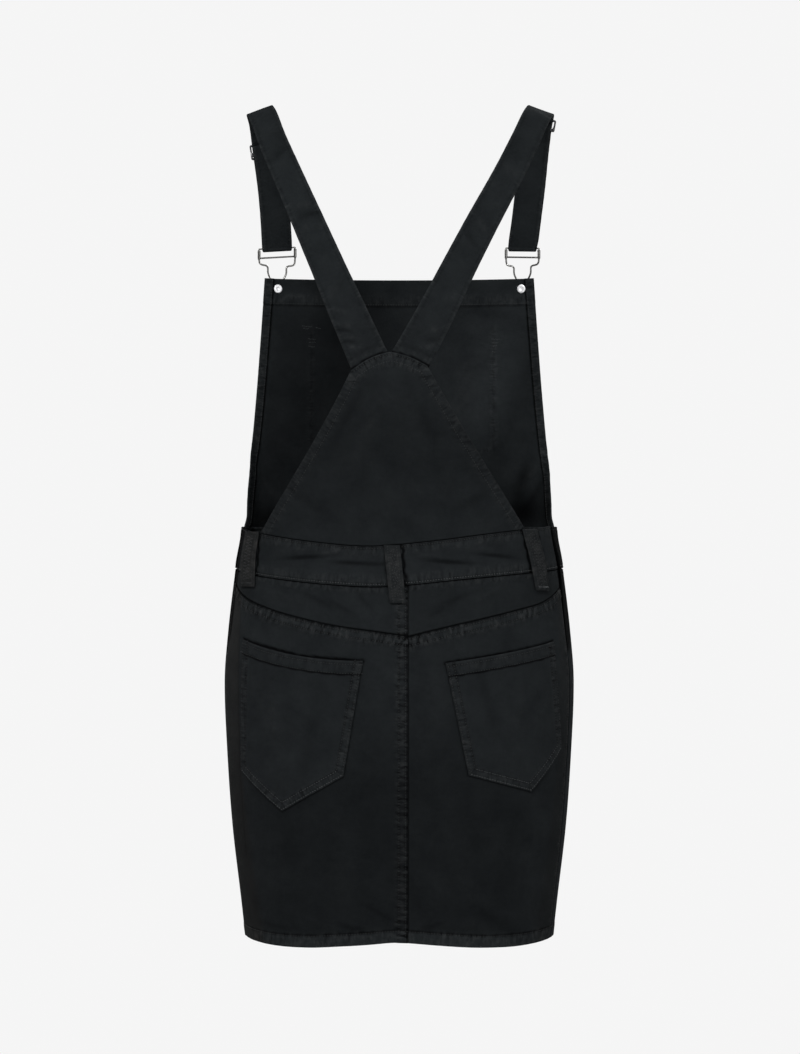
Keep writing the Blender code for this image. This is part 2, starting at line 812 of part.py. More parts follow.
def drooped(side, across, up):
    """A point of the clasp, scaled across and moved down where its bars' outer ends droop."""
    across *= CLASP_WIDE[side]
    share = min(max((up - DROOPS_ABOVE[0]) / (DROOPS_ABOVE[1] - DROOPS_ABOVE[0]), 0.0), 1.0)
    return across, up - SIDE[side] * across * math.tan(BAR_DROOP[side]) * share


def make_clasp(side):
    loop = list(CLASP_WIRE) + [(-x, y, thick) for x, y, thick in reversed(CLASP_WIRE[:-1])]
    curve = bpy.data.curves.new("clasp wire", "CURVE")
    curve.dimensions = "3D"
    curve.bevel_depth = BAR_RADIUS
    curve.bevel_resolution = 2
    spline = curve.splines.new("POLY")
    spline.points.add(len(loop) - 1)
    spline.use_cyclic_u = True
    for (across, up, thick), target in zip(loop, spline.points):
        target.co = (*drooped(side, across, up), CLASP_OUT, 1.0)
        target.radius = thick
    guide = bpy.data.objects.new("clasp wire guide", curve)
    cutters.objects.link(guide)
    graph = bpy.context.evaluated_depsgraph_get()
    mesh = bpy.data.meshes.new_from_object(guide.evaluated_get(graph))
    bpy.data.objects.remove(guide)
    clasp = add(f"clasp_{side}", mesh, NICKEL)
    matrix = clasp_frame(side)
    clasp.matrix_world = matrix

    across, up = CLASP_WIRE[0][0], LOWER_BAR["up"]
    start, end = (Vector((*drooped(side, x, up), CLASP_OUT)) for x in (-across, across))
    unite(clasp, [rod(f"clasp {side} lower bar", start, end, LOWER_BAR["radius"], 8, matrix)])
    return clasp


SLIDER = {
    "ring": (0.0178, 0.0090),  # half its width and height
    "window": (0.0160, 0.0062),
    "thickness": 0.0016,
    "bar_radius": 0.0011,
    "link_half_height": 0.0022,
}


def make_slider(side, way):
    """A slide on the strap: a flat ring in front of it, and a bar behind it on two links."""
    up = way.normal.cross(way.across).normalized()
    axes = Matrix((way.across, up, way.normal)).transposed().to_4x4()
    matrix = Matrix.Translation(way.point) @ axes
    ring_out = BAND / 2 + PLAY
    curve = bpy.data.curves.new("slider ring", "CURVE")
    curve.dimensions = "2D"
    curve.fill_mode = "BOTH"
    curve.extrude = SLIDER["thickness"] / 2
    for half_width, half_height in (SLIDER["ring"], SLIDER["window"]):
        spline = curve.splines.new("POLY")
        spline.points.add(3)
        spline.use_cyclic_u = True
        for (sx, sy), target in zip(((1, 1), (-1, 1), (-1, -1), (1, -1)), spline.points):
            target.co = (sx * half_width, sy * half_height, 0.0, 1.0)
    guide = bpy.data.objects.new("slider ring guide", curve)
    cutters.objects.link(guide)
    graph = bpy.context.evaluated_depsgraph_get()
    mesh = bpy.data.meshes.new_from_object(guide.evaluated_get(graph))
    bpy.data.objects.remove(guide)
    made = bmesh.new()
    made.from_mesh(mesh)
    bmesh.ops.remove_doubles(made, verts=made.verts, dist=1e-6)
    out = ring_out + SLIDER["thickness"] / 2
    bmesh.ops.translate(made, verts=made.verts, vec=(0, 0, out))
    bmesh.ops.recalc_face_normals(made, faces=made.faces)
    made.to_mesh(mesh)
    made.free()
    slider = add(f"slider_{side}", mesh, NICKEL)
    slider.matrix_world = matrix

    radius = SLIDER["bar_radius"]
    bar_in = -(BAND / 2 + PLAY + radius)
    link_inner, link_outer = SLIDER["window"][0] - SEAM, SLIDER["ring"][0] - SEAM
    tall = SLIDER["link_half_height"]
    helpers = []
    for end in (-1, 1):
        across = sorted((end * link_inner, end * link_outer))
        low = Vector((across[0], -tall, bar_in - radius - SEAM))
        high = Vector((across[1], tall, out))
        helpers.append(box(f"slider {side} link {end}", low, high, matrix))
    middle = (link_inner + link_outer) / 2
    start, end = Vector((-middle, 0, bar_in)), Vector((middle, 0, bar_in))
    helpers.append(rod(f"slider {side} bar", start, end, radius, 10, matrix))
    unite(slider, helpers)
    return slider


def make_button(name, matrix, profile, look, steps=16):
    """A turned button. Its profile runs down the outer side, from the head to the rivet."""
    mesh = bpy.data.meshes.new(name)
    points = [(radius, 0.0, out) for radius, out in profile]
    mesh.from_pydata(points, [(k, k + 1) for k in range(len(points) - 1)], [])
    button = add(name, mesh, look)
    button.matrix_world = matrix
    turn = button.modifiers.new("Turn", "SCREW")
    turn.axis = "Z"
    turn.steps = steps
    turn.render_steps = steps
    turn.use_merge_vertices = True
    turn.merge_threshold = 0.0001
    turn.use_normal_calculate = True
    return button


def pierce(panel_object, matrix, radius):
    """A round hole through a panel, for a button's shank."""
    start, end = Vector((0, 0, -0.004)), Vector((0, 0, 0.006))
    cutter = rod(f"hole in {panel_object.name} {len(cutters.objects)}", start, end, radius, 12, matrix)
    cutter.hide_render = True
    cutter.display_type = "WIRE"
    hole = panel_object.modifiers.new("Button hole", "BOOLEAN")
    hole.operation = "DIFFERENCE"
    hole.object = cutter


BIB_BUTTON = {"head": 0.0085, "shank": 0.0026, "rivet": 0.0049}
SIDE_BUTTON = {"head": 0.0075, "shank": 0.0022, "rivet": 0.0043}
HOLE_PLAY = 0.0004


def bib_button_profile():
    head, shank, rivet = BIB_BUTTON["head"], BIB_BUTTON["shank"], BIB_BUTTON["rivet"]
    seat = CLOTH + SEAM + 2 * BAR_RADIUS + SEAM  # the wire lies between the bib and the head
    under = -2 * SEAM
    return (
        (0.0, seat + 0.0026),
        (head * 0.45, seat + 0.0024),
        (head * 0.82, seat + 0.0017),
        (head, seat + 0.0008),
        (head * 0.93, seat),
        (shank, seat),
        (shank, under),
        (rivet, under),
        (rivet, under - 0.0007),
        (rivet * 0.8, under - 0.0013),
        (rivet * 0.35, under - 0.0013),
        (0.0, under - 0.0009),
    )


def side_button_profile(cloth):
    head, shank, rivet = SIDE_BUTTON["head"], SIDE_BUTTON["shank"], SIDE_BUTTON["rivet"]
    seat = cloth + 2 * SEAM
    under = -(UNDERLAP + CLOTH + 2 * SEAM)
    return (
        (0.0, seat + 0.0019),
        (head * 0.7, seat + 0.0016),
        (head, seat + 0.0009),
        (head * 0.93, seat),
        (shank, seat),
        (shank, under),
        (rivet, under),
        (rivet * 0.8, under - 0.0009),
        (0.0, under - 0.0009),
    )


def face_frame(face, along, height):
    """Axes on the cloth with Z pointing out of it."""
    place = on_cloth(face, along, height)
    out = (on_cloth(face, along, height, 0.01) - place).normalized()
    across = Vector((0, 0, 1)).cross(out).normalized()
    axes = Matrix((across, out.cross(across), out)).transposed()
    return Matrix.Translation(place) @ axes.to_4x4()


# ---------------------------------------------------------------- the dress
make_back_bib()
make_back_waistband()
bib_front = make_front_bib()
waistband_front = make_front_waistband()
skirt_front = make_front_skirt()
make_bib_pocket()
for loop_name in LOOPS:
    make_belt_loop(loop_name)

for side_name in SIDE:
    make_yoke(side_name)
    make_back_skirt(side_name)
    make_back_pocket(side_name)
    shield = make_placket_shield(side_name)

    strap, slide = strap_course(side_name)
    make_strap(side_name, strap)
    make_slider(side_name, slide)
    make_clasp(side_name)

    at_button = clasp_frame(side_name)
    make_button(f"button_bib_{side_name}", at_button, bib_button_profile(), SILVER)
    pierce(bib_front, at_button, BIB_BUTTON["shank"] + HOLE_PLAY)

    for level, height in SIDE_BUTTONS.items():
        along = SIDE[side_name] * (front_quarter(height) - BUTTON_AHEAD)
        spot = face_frame("front", along, height)
        front, cloth = (waistband_front, BAND) if level == "upper" else (skirt_front, CLOTH)
        make_button(f"button_{side_name}_{level}", spot, side_button_profile(cloth), NICKEL, 12)
        for pierced in (front, shield):
            pierce(pierced, spot, SIDE_BUTTON["shank"] + HOLE_PLAY)
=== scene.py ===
import math

import bpy
import numpy as np
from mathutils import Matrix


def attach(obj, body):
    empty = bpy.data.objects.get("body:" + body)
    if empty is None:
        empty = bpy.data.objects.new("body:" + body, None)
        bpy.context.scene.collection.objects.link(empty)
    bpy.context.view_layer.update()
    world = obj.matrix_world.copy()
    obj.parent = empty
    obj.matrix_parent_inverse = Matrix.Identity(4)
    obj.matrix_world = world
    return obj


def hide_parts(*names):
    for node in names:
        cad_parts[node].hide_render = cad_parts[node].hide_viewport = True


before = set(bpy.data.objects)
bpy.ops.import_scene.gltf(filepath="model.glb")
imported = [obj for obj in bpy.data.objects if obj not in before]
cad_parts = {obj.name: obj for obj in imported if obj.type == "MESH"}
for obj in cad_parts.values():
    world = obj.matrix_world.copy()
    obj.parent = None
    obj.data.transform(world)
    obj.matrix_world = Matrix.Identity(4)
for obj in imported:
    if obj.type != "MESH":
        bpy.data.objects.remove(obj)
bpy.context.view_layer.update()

# ================================================================ the studio
# The dress hangs as if worn in a white studio, and is seen from behind, level with its waist,
# from three metres away. The floor lies where a wearer's feet would stand, below the picture.
CAMERA_PLACE = (-0.0008, 3.0, -0.428)
FOCAL_PIXELS = 2913.0
PICTURE_HEIGHT = 1054
SENSOR = 36.0
FLOOR_HEIGHT = -1.45
FLOOR_RADIUS = 2.45
FLOOR_SIDES = 96
STUDIO_WHITE = (0.915, 0.915, 0.915, 1.0)
FLOOR_WHITES = (0.80, 0.80, 0.80, 1.0), (0.84, 0.84, 0.84, 1.0)
STUDIO_GLOW = (0.34, 0.34, 0.345, 1.0)
LAMPS = (
    # name, place, size, watts
    ("Key lamp behind", (0.9, 2.7, 1.7), 0.8, 104.0),
    ("Fill lamp behind", (-1.5, 2.8, 0.1), 1.6, 34.0),
    ("Key lamp in front", (-1.5, -2.5, 1.3), 1.0, 85.0),
    ("Fill lamp in front", (2.2, -2.2, -0.1), 1.6, 32.0),
    ("Lamp above", (0.0, 0.2, 2.2), 1.2, 26.0),
)
AIM = (0.0, 0.0, -0.42)


class Wire:
    """The output of a shader node. Sums on it add Math nodes."""

    def __init__(self, socket):
        self.socket = socket

    def sum(self, operation, *values):
        tree = self.socket.id_data
        made = tree.nodes.new("ShaderNodeMath")
        made.operation = operation
        for place, value in zip(made.inputs, values):
            if isinstance(value, Wire):
                tree.links.new(value.socket, place)
            else:
                place.default_value = value
        return Wire(made.outputs[0])

    def __add__(self, other):
        return self.sum("ADD", self, other)

    def __sub__(self, other):
        return self.sum("SUBTRACT", self, other)

    def __rsub__(self, other):
        return self.sum("SUBTRACT", other, self)

    def __mul__(self, other):
        return self.sum("MULTIPLY", self, other)

    __radd__ = __add__
    __rmul__ = __mul__

    def sine(self):
        return self.sum("SINE", self)

    def within(self, low, high):
        return self.sum("MINIMUM", self.sum("MAXIMUM", self, low), high)


class Finish:
    """A material of the dress or the studio, made of shader nodes."""

    def __init__(self, name, **constants):
        self.material = bpy.data.materials.new(name)
        self.material.use_nodes = True
        self.tree = self.material.node_tree
        self.shader = self.tree.nodes["Principled BSDF"]
        for socket, value in constants.items():
            self.shader.inputs[socket.replace("_", " ")].default_value = value

    def node(self, kind, settings, sockets, output=0):
        made = self.tree.nodes.new("ShaderNode" + kind)
        for name, value in settings.items():
            setattr(made, name, value)
        for name, value in sockets.items():
            self.feed(made.inputs[name], value)
        return Wire(made.outputs[output])

    def feed(self, socket, value):
        if isinstance(value, Wire):
            self.tree.links.new(value.socket, socket)
        else:
            socket.default_value = value

    def between(self, share, first, second):
        """A colour between two colours."""
        return self.node("Mix", {"data_type": "RGBA"}, {0: share, 6: first, 7: second}, 2)

    def specks(self, where, scale, detail, roughness=0.5):
        """Soft random spots, as a number about 0.5."""
        sockets = {"Vector": where, "Scale": scale, "Detail": detail, "Roughness": roughness}
        return self.node("TexNoise", {}, sockets)

    def wear(self, **links):
        """Links what changes over the surface to the shader."""
        for socket, value in links.items():
            self.feed(self.shader.inputs[socket.replace("_", " ")], value)


camera_data = bpy.data.cameras.new("Camera")
camera_data.sensor_fit = "VERTICAL"
camera_data.sensor_height = SENSOR
camera_data.lens = FOCAL_PIXELS * SENSOR / PICTURE_HEIGHT
camera = bpy.data.objects.new("Camera", camera_data)
camera.location = CAMERA_PLACE
camera.rotation_euler = (math.radians(90), 0.0, math.radians(180))
bpy.context.scene.collection.objects.link(camera)
bpy.context.scene.camera = camera
bpy.context.scene.view_settings.view_transform = "Standard"

# The studio's walls look white to the camera, and light the dress less than they show.
world = bpy.data.worlds.new("White studio")
world.use_nodes = True
background = world.node_tree.nodes["Background"]
seen = world.node_tree.nodes.new("ShaderNodeLightPath")
white = world.node_tree.nodes.new("ShaderNodeMix")
white.data_type = "RGBA"
white.inputs[6].default_value = STUDIO_GLOW
white.inputs[7].default_value = STUDIO_WHITE
world.node_tree.links.new(seen.outputs["Is Camera Ray"], white.inputs[0])
world.node_tree.links.new(white.outputs[2], background.inputs["Color"])
bpy.context.scene.world = world

for name, place, size, watts in LAMPS:
    lamp_data = bpy.data.lights.new(name, "AREA")
    lamp_data.shape = "DISK"
    lamp_data.size = size
    lamp_data.energy = watts
    lamp = bpy.data.objects.new(name, lamp_data)
    lamp.location = place
    toward = np.subtract(AIM, place)
    turn = math.atan2(toward[1], toward[0]) - math.radians(90)
    tip = math.atan2(math.hypot(toward[0], toward[1]), -toward[2])
    lamp.rotation_euler = (tip, 0.0, turn)
    lamp.visible_camera = False
    bpy.context.scene.collection.objects.link(lamp)

angles = np.linspace(0, 2 * math.pi, FLOOR_SIDES + 1)[:-1]
rim = [(FLOOR_RADIUS * math.cos(a), FLOOR_RADIUS * math.sin(a), FLOOR_HEIGHT) for a in angles]
floor_mesh = bpy.data.meshes.new("Floor")
floor_mesh.from_pydata(rim, [], [list(range(len(rim)))])
floor_look = Finish("Pale floor", Roughness=0.9)
floor_spot = floor_look.node("TexCoord", {}, {}, 3)
floor_tone = floor_look.specks(floor_spot, 1.5, 3.0)
floor_look.wear(Base_Color=floor_look.between(floor_tone, *FLOOR_WHITES))
floor_mesh.materials.append(floor_look.material)
floor = bpy.data.objects.new("Floor", floor_mesh)
bpy.context.scene.collection.objects.link(floor)

# ================================================================ the skirt
# Three panels of black stretch denim: two at the back that meet in a felled seam at the
# centre, and one at the front, all hemmed once. They are drawn on the figure that fills them.
CLOTH = 0.0012  # thickness of one layer
SEAM = 0.0003  # between pieces that meet
WAIST = -0.428
WAISTBAND = 0.042
HEM = -0.845
SIDE = {"left": 1, "right": -1}
SIDE_SETBACK = {"left": 0.026, "right": 0.042}  # from the figure's side to the back's edge
NEAR_SIDE = 0.19  # about how far from centre back that edge lies
PLACKET_END = -0.555  # the side openings run down to here
GAPE = {"most": 0.0085, "below_waist": 0.044, "reach": 0.030}  # how they stand open
FELL = 0.0105  # width of the double-stitched strip of a felled seam
FELL_ROWS = (0.0022, 0.0085)  # its rows of stitches, from the seam
CENTRE_ROWS = (0.0022, 0.0088)
HEM_DEEP = 0.0125
HEM_ROW = HEM_DEEP - 0.001

FIGURE = (
    # height, back half width, front half width, back depth, front depth, back power, front power
    (-0.148, 0.1500, 0.2400, 0.0980, 0.1195, 2.2, 2.0),
    (-0.208, 0.1520, 0.2150, 0.0980, 0.1235, 2.2, 2.05),
    (-0.260, 0.1540, 0.1980, 0.0970, 0.1230, 2.2, 2.1),
    (-0.312, 0.1560, 0.1860, 0.0960, 0.1160, 2.2, 2.2),
    (-0.362, 0.1570, 0.1765, 0.0965, 0.1080, 2.3, 2.3),
    (-0.400, 0.1585, 0.1690, 0.0975, 0.1025, 2.4, 2.35),
    (-0.426, 0.1600, 0.1603, 0.0990, 0.0995, 2.4, 2.4),
    (-0.440, 0.1614, 0.1614, 0.1005, 0.0988, 2.4, 2.4),
    (-0.462, 0.1655, 0.1655, 0.1030, 0.0985, 2.4, 2.4),
    (-0.487, 0.1691, 0.1691, 0.1060, 0.0990, 2.4, 2.4),
    (-0.536, 0.1747, 0.1747, 0.1110, 0.1010, 2.4, 2.4),
    (-0.586, 0.1782, 0.1782, 0.1150, 0.1030, 2.4, 2.4),
    (-0.660, 0.1754, 0.1754, 0.1150, 0.1040, 2.4, 2.4),
    (-0.734, 0.1701, 0.1701, 0.1130, 0.1040, 2.4, 2.4),
    (-0.808, 0.1613, 0.1613, 0.1110, 0.1030, 2.5, 2.4),
    (-0.848, 0.1568, 0.1568, 0.1100, 0.1020, 2.5, 2.4),
)

# Soft ridges, and hollows where the depth is below zero. The first ones are the large folds.
FOLDS = (
    # face, along, height, half length, half width, lean in degrees, depth
    ("back", 0.000, -0.848, 0.110, 0.035, 0, -0.0090),
    ("back", 0.118, -0.800, 0.080, 0.026, -4, 0.0020),
    ("back", -0.112, -0.815, 0.075, 0.024, 5, 0.0022),
    ("back", 0.020, -0.465, 0.150, 0.010, 90, -0.0008),
    ("front", 0.000, -0.850, 0.120, 0.045, 0, -0.0050),
    ("front", 0.095, -0.810, 0.090, 0.028, 3, 0.0025),
    ("front", -0.088, -0.820, 0.085, 0.028, -4, 0.0022),
    ("front", -0.152, -0.388, 0.030, 0.009, -34, 0.0035),
    ("front", 0.148, -0.372, 0.028, 0.010, 30, 0.0020),
)

BACK_WAIST_TOP = (
    # along, height
    (-0.190, -0.4250),
    (-0.129, -0.4310),
    (-0.092, -0.4350),
    (-0.032, -0.4425),
    (0.027, -0.4475),
    (0.075, -0.4445),
    (0.148, -0.4350),
    (0.195, -0.4270),
)
BACK_WAIST_BOTTOM = (
    # along, height
    (-0.195, -0.4700),
    (-0.133, -0.4742),
    (-0.067, -0.4798),
    (0.016, -0.4872),
    (0.075, -0.4848),
    (0.132, -0.4792),
    (0.200, -0.4715),
)
CENTRE_SEAM = -0.0085  # a little to the wearer's right of the middle
YOKE_SEAM = {
    # along, height
    "left": (
        (-0.0085, -0.5370),
        (0.020, -0.5325),
        (0.064, -0.5265),
        (0.101, -0.5188),
        (0.135, -0.5102),
        (0.168, -0.4995),
        (0.200, -0.4835),
    ),
    "right": (
        (-0.200, -0.4825),
        (-0.155, -0.5032),
        (-0.118, -0.5120),
        (-0.080, -0.5205),
        (-0.0515, -0.5268),
        (-0.0085, -0.5370),
    ),
}
BACK_HEM = (
    # along, height
    (-0.230, -0.8425),
    (-0.143, -0.8463),
    (-0.085, -0.8465),
    (-0.037, -0.8436),
    (0.003, -0.8418),
    (0.027, -0.8430),
    (0.059, -0.8447),
    (0.092, -0.8468),
    (0.141, -0.8465),
    (0.230, -0.8425),
)


def smooth_table(table, at):
    """The table's other columns at places in its first column, on smooth curves."""
    rows = np.asarray(table, float)
    if rows[0, 0] > rows[-1, 0]:
        rows = rows[::-1]
    places = rows[:, 0]
    at = np.clip(np.asarray(at, float), places[0], places[-1])
    low = np.clip(np.searchsorted(places, at, side="right") - 1, 0, len(places) - 2)
    index = np.arange(len(places))
    before, after = np.maximum(index - 1, 0), np.minimum(index + 1, len(places) - 1)
    slope = (rows[after, 1:] - rows[before, 1:]) / (places[after] - places[before])[:, None]
    step = places[low + 1] - places[low]
    part = (at - places[low]) / step
    rise = (part * part * (3 - 2 * part))[..., None]
    from_low = (part * (1 - part) ** 2 * step)[..., None] * slope[low]
    from_high = (part * part * (1 - part) * step)[..., None] * slope[low + 1]
    return rows[low, 1:] * (1 - rise) + rows[low + 1, 1:] * rise + from_low - from_high


GRAIN = 0.001  # the figure is tabled at every millimetre of height and along the cloth
LOWEST, HIGHEST = -0.862, -0.136
FARTHEST = 0.46  # along the cloth from a face's centre


class Figure:
    """The form that fills the dress, tabled by height and by the distance along the cloth."""

    def __init__(self):
        self.heights = np.arange(LOWEST, HIGHEST, GRAIN)
        sizes = smooth_table(FIGURE, self.heights)
        angle = np.linspace(0, math.pi, 1201)
        back = angle <= math.pi / 2
        width = np.where(back, sizes[:, 0:1], sizes[:, 1:2])
        depth = np.where(back, sizes[:, 2:3], -sizes[:, 3:4])
        power = 2 / np.where(back, sizes[:, 4:5], sizes[:, 5:6])
        x = width * np.sin(angle).clip(0) ** power
        y = depth * np.abs(np.cos(angle)) ** power
        steps = np.hypot(np.diff(x, axis=1), np.diff(y, axis=1))
        distance = np.pad(np.cumsum(steps, axis=1), ((0, 0), (1, 0)))
        side = int(back.sum()) - 1
        self.quarter = {
            "back": distance[:, side],
            "front": distance[:, -1] - distance[:, side + 1],
        }
        reach = np.arange(0, FARTHEST, GRAIN)
        self.tables = {}
        for face in ("back", "front"):
            rows = []
            for row_x, row_y, row_distance in zip(x, y, distance):
                from_back = reach if face == "back" else row_distance[-1] - reach
                rows.append((
                    np.interp(from_back, row_distance, row_x),
                    np.interp(from_back, row_distance, row_y),
                ))
            self.tables[face] = np.moveaxis(np.array(rows), 1, -1)

    def quarter_at(self, face, height):
        """The distance along the cloth from the face's centre to the figure's side."""
        return np.interp(height, self.heights, self.quarter[face])

    def bare(self, face, places):
        """The figure's points at places (along, height)."""
        along, height = places[..., 0], places[..., 1]
        table = self.tables[face]
        row = np.clip((height - LOWEST) / GRAIN, 0, table.shape[0] - 1.001)
        column = np.clip(np.abs(along) / GRAIN, 0, table.shape[1] - 1.001)
        i, j = row.astype(int), column.astype(int)
        up, on = (row - i)[..., None], (column - j)[..., None]
        low = table[i, j] * (1 - on) + table[i, j + 1] * on
        high = table[i + 1, j] * (1 - on) + table[i + 1, j + 1] * on
        flat = low * (1 - up) + high * up
        x = np.where(along < 0, -flat[..., 0], flat[..., 0])
        return np.stack([x, flat[..., 1], height], -1)

    def outward(self, face, places):
        """The figure's outward direction at places."""
        aside, above = np.array([0.003, 0.0]), np.array([0.0, 0.003])
        along_way = self.bare(face, places + aside) - self.bare(face, places - aside)
        up_way = self.bare(face, places + above) - self.bare(face, places - above)
        normal = np.cross(up_way, along_way)
        if face == "front":
            normal = -normal
        return normal / np.linalg.norm(normal, axis=-1, keepdims=True)


figure = Figure()


def folds(table, face, places):
    """How far the soft ridges and hollows of a table push the cloth out."""
    out = np.zeros(places.shape[:-1])
    for fold_face, along, height, half_length, half_width, lean, depth in table:
        if fold_face == face:
            turn = math.radians(lean)
            aside, above = places[..., 0] - along, places[..., 1] - height
            across = aside * math.cos(turn) - above * math.sin(turn)
            down = aside * math.sin(turn) + above * math.cos(turn)
            out += depth * np.exp(-((across / half_width) ** 2) - (down / half_length) ** 2)
    return out


def beside(line, places):
    """How far along a line each place lies, and how far to the line's left."""
    ahead = np.diff(line, axis=0)
    length = np.linalg.norm(ahead, axis=1)
    start = np.concatenate([[0.0], np.cumsum(length)[:-1]])
    flat = places.reshape(-1, 2)
    nearest = np.full(len(flat), np.inf)
    run, aside = np.zeros(len(flat)), np.zeros(len(flat))
    for point, way, long, begun in zip(line[:-1], ahead, length, start):
        way = way / long
        apart = flat - point
        on = np.clip(apart @ way, 0, long)
        off = apart - on[:, None] * way
        far = np.hypot(off[:, 0], off[:, 1])
        closer = far < nearest
        side = way[0] * apart[:, 1] - way[1] * apart[:, 0]
        nearest = np.where(closer, far, nearest)
        run = np.where(closer, begun + on, run)
        aside = np.where(closer, np.copysign(far, side), aside)
    return run.reshape(places.shape[:-1]), aside.reshape(places.shape[:-1])


def parallel(points, aside):
    """A line on the cloth, moved to its left."""
    ahead = np.gradient(points, axis=0)
    ahead /= np.linalg.norm(ahead, axis=1, keepdims=True)
    return points + np.stack([-ahead[:, 1], ahead[:, 0]], -1) * aside


def uneven(run, spacing, seed):
    """Ridges and troughs at uneven places along a line, from -1 to 1."""
    chooser = np.random.default_rng(seed)
    knots = np.cumsum(spacing * chooser.uniform(0.55, 1.6, 900)) - 4 * spacing
    levels = chooser.uniform(0.25, 1.0, 900) * np.where(np.arange(900) % 2, 1, -1)
    low = np.clip(np.searchsorted(knots, run) - 1, 0, 898)
    part = np.clip((run - knots[low]) / (knots[low + 1] - knots[low]), 0, 1)
    rise = part * part * (3 - 2 * part)
    return levels[low] * (1 - rise) + levels[low + 1] * rise


def ramp(value, low, high):
    """A smooth rise from 0 to 1 between two values."""
    part = np.clip((value - low) / (high - low), 0, 1)
    return part * part * (3 - 2 * part)


def lerp(a, b, t):
    return a + (b - a) * t


class Puckers:
    """The small folds that a seam's thread draws up, in a strip beside the seam."""

    def __init__(self, line, middle, reach, spacing, depth, seed, slant=0.0):
        self.line, self.middle, self.reach = line, middle, reach
        self.spacing, self.depth, self.seed, self.slant = spacing, depth, seed, slant

    def beside(self, places):
        run, aside = beside(self.line, places)
        return run, aside, np.exp(-(((aside - self.middle) / self.reach) ** 4))

    def strength(self, places):
        """Run, aside, and how strongly the cloth is drawn up there, from 0 to 1."""
        run, aside, fade = self.beside(places)
        return run, aside, fade * min(self.depth / 0.00033, 1.0)

    def __call__(self, places):
        run, aside, fade = self.beside(places)
        strength = 0.6 + 0.4 * uneven(run, 8 * self.spacing, self.seed + 50)
        ridges = uneven(run + self.slant * aside, self.spacing, self.seed)
        return self.depth * strength * fade * ridges


STEP = 0.0006  # half the width of the soft step at a folded edge


def strip(line, near, far, height):
    """A strip beside a line that lies higher, with a soft step at each side."""

    def relief(places):
        _, aside = beside(line, places)
        low, high = sorted((near, far))
        rise = ramp(aside, low - STEP, low + STEP)
        return height * rise * ramp(-aside, -high - STEP, STEP - high)

    return relief


def groove(line, aside_at, depth=0.00035, reach=0.0011, ragged=0.0, spacing=0.005):
    """The shallow trough that a row of stitches pulls down, or the step beside a ragged edge."""

    def relief(places):
        run, aside = beside(line, places)
        from_middle = aside - aside_at - ragged * uneven(run, spacing, 3)
        return -depth * np.exp(-((from_middle / reach) ** 2))

    return relief


def line_at(table, start, end, shift=0.0):
    """A line on the cloth read from a table of heights, between two distances along it."""

    def points(t):
        along = lerp(start, end, np.asarray(t, float))
        return np.stack([along, smooth_table(table, along)[..., 0] + shift], -1)

    return points


def bowed(start, end, bow=0.0):
    """A straight line whose middle is moved along the cloth by `bow`."""

    def points(t):
        t = np.asarray(t, float)
        along = lerp(start[0], end[0], t) + 4 * bow * t * (1 - t)
        return np.stack([along, lerp(start[1], end[1], t)], -1)

    return points


def upright(along, low, high):
    """A line straight up the cloth between two heights."""
    return bowed((along, low), (along, high))


def straight_sides(bottom, top):
    """The two straight lines that join the ends of a panel's foot and top."""
    return [bowed(bottom(end), top(end)) for end in (0, 1)]


def edge(distance_at, low, high):
    """A line up the cloth between two heights, at the distance that a function gives."""

    def points(t):
        height = lerp(low, high, np.asarray(t, float))
        return np.stack([distance_at(height), height], -1)

    return points


def patch(first, last, bottom, top):
    """The places at u, v from 0 to 1 between four lines that meet at corners."""
    corners = [bottom(0), bottom(1), top(0), top(1)]

    def place(u, v):
        u1, v1 = u[..., None], v[..., None]
        across = lerp(bottom(u), top(u), v1) + lerp(first(v), last(v), u1)
        return across - lerp(lerp(corners[0], corners[1], u1), lerp(corners[2], corners[3], u1), v1)

    return place


def ticks(length, coarse, fine, reach, inset):
    """Grid lines from edge to edge, close together near both edges and wider between them."""
    s = np.linspace(0, length, 1500)
    from_edge = np.minimum(s, length - s)
    spacing = lerp(fine, coarse, ramp(from_edge, reach, 2 * reach))
    count = np.concatenate([[0.0], np.cumsum(np.diff(s) / spacing[1:])])
    whole = max(int(round(count[-1])), 4)
    at = np.interp(np.linspace(0, count[-1], whole + 1), count, s) / length
    return inset / length + at * (1 - 2 * inset / length)


def finish_mesh(name, points, faces, look, flat=None, **layers):
    """A smooth object from arrays, with its places on the flat cloth and its other layers."""
    mesh = bpy.data.meshes.new(name)
    mesh.from_pydata(points.tolist(), [], [list(face) for face in faces])
    mesh.shade_smooth()
    if flat is not None:
        corners = np.empty(len(mesh.loops), np.int32)
        mesh.loops.foreach_get("vertex_index", corners)
        layer = mesh.uv_layers.new(name="cloth")
        layer.data.foreach_set("uv", flat[corners].ravel())
    for layer_name, values in layers.items():
        kind, slot = ("FLOAT", "value") if values.ndim == 1 else ("FLOAT_VECTOR", "vector")
        mesh.attributes.new(layer_name, kind, "POINT").data.foreach_set(slot, values.ravel())
    mesh.materials.append(look.material)
    made = bpy.data.objects.new(name, mesh)
    bpy.context.scene.collection.objects.link(made)
    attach(made, "root")
    return made


RIM_TURNS = (40, 90, 140)  # degrees round the edge of a piece of cloth, from its outer face
EDGE_REACH = 0.012  # the grid is fine this near a panel's edges


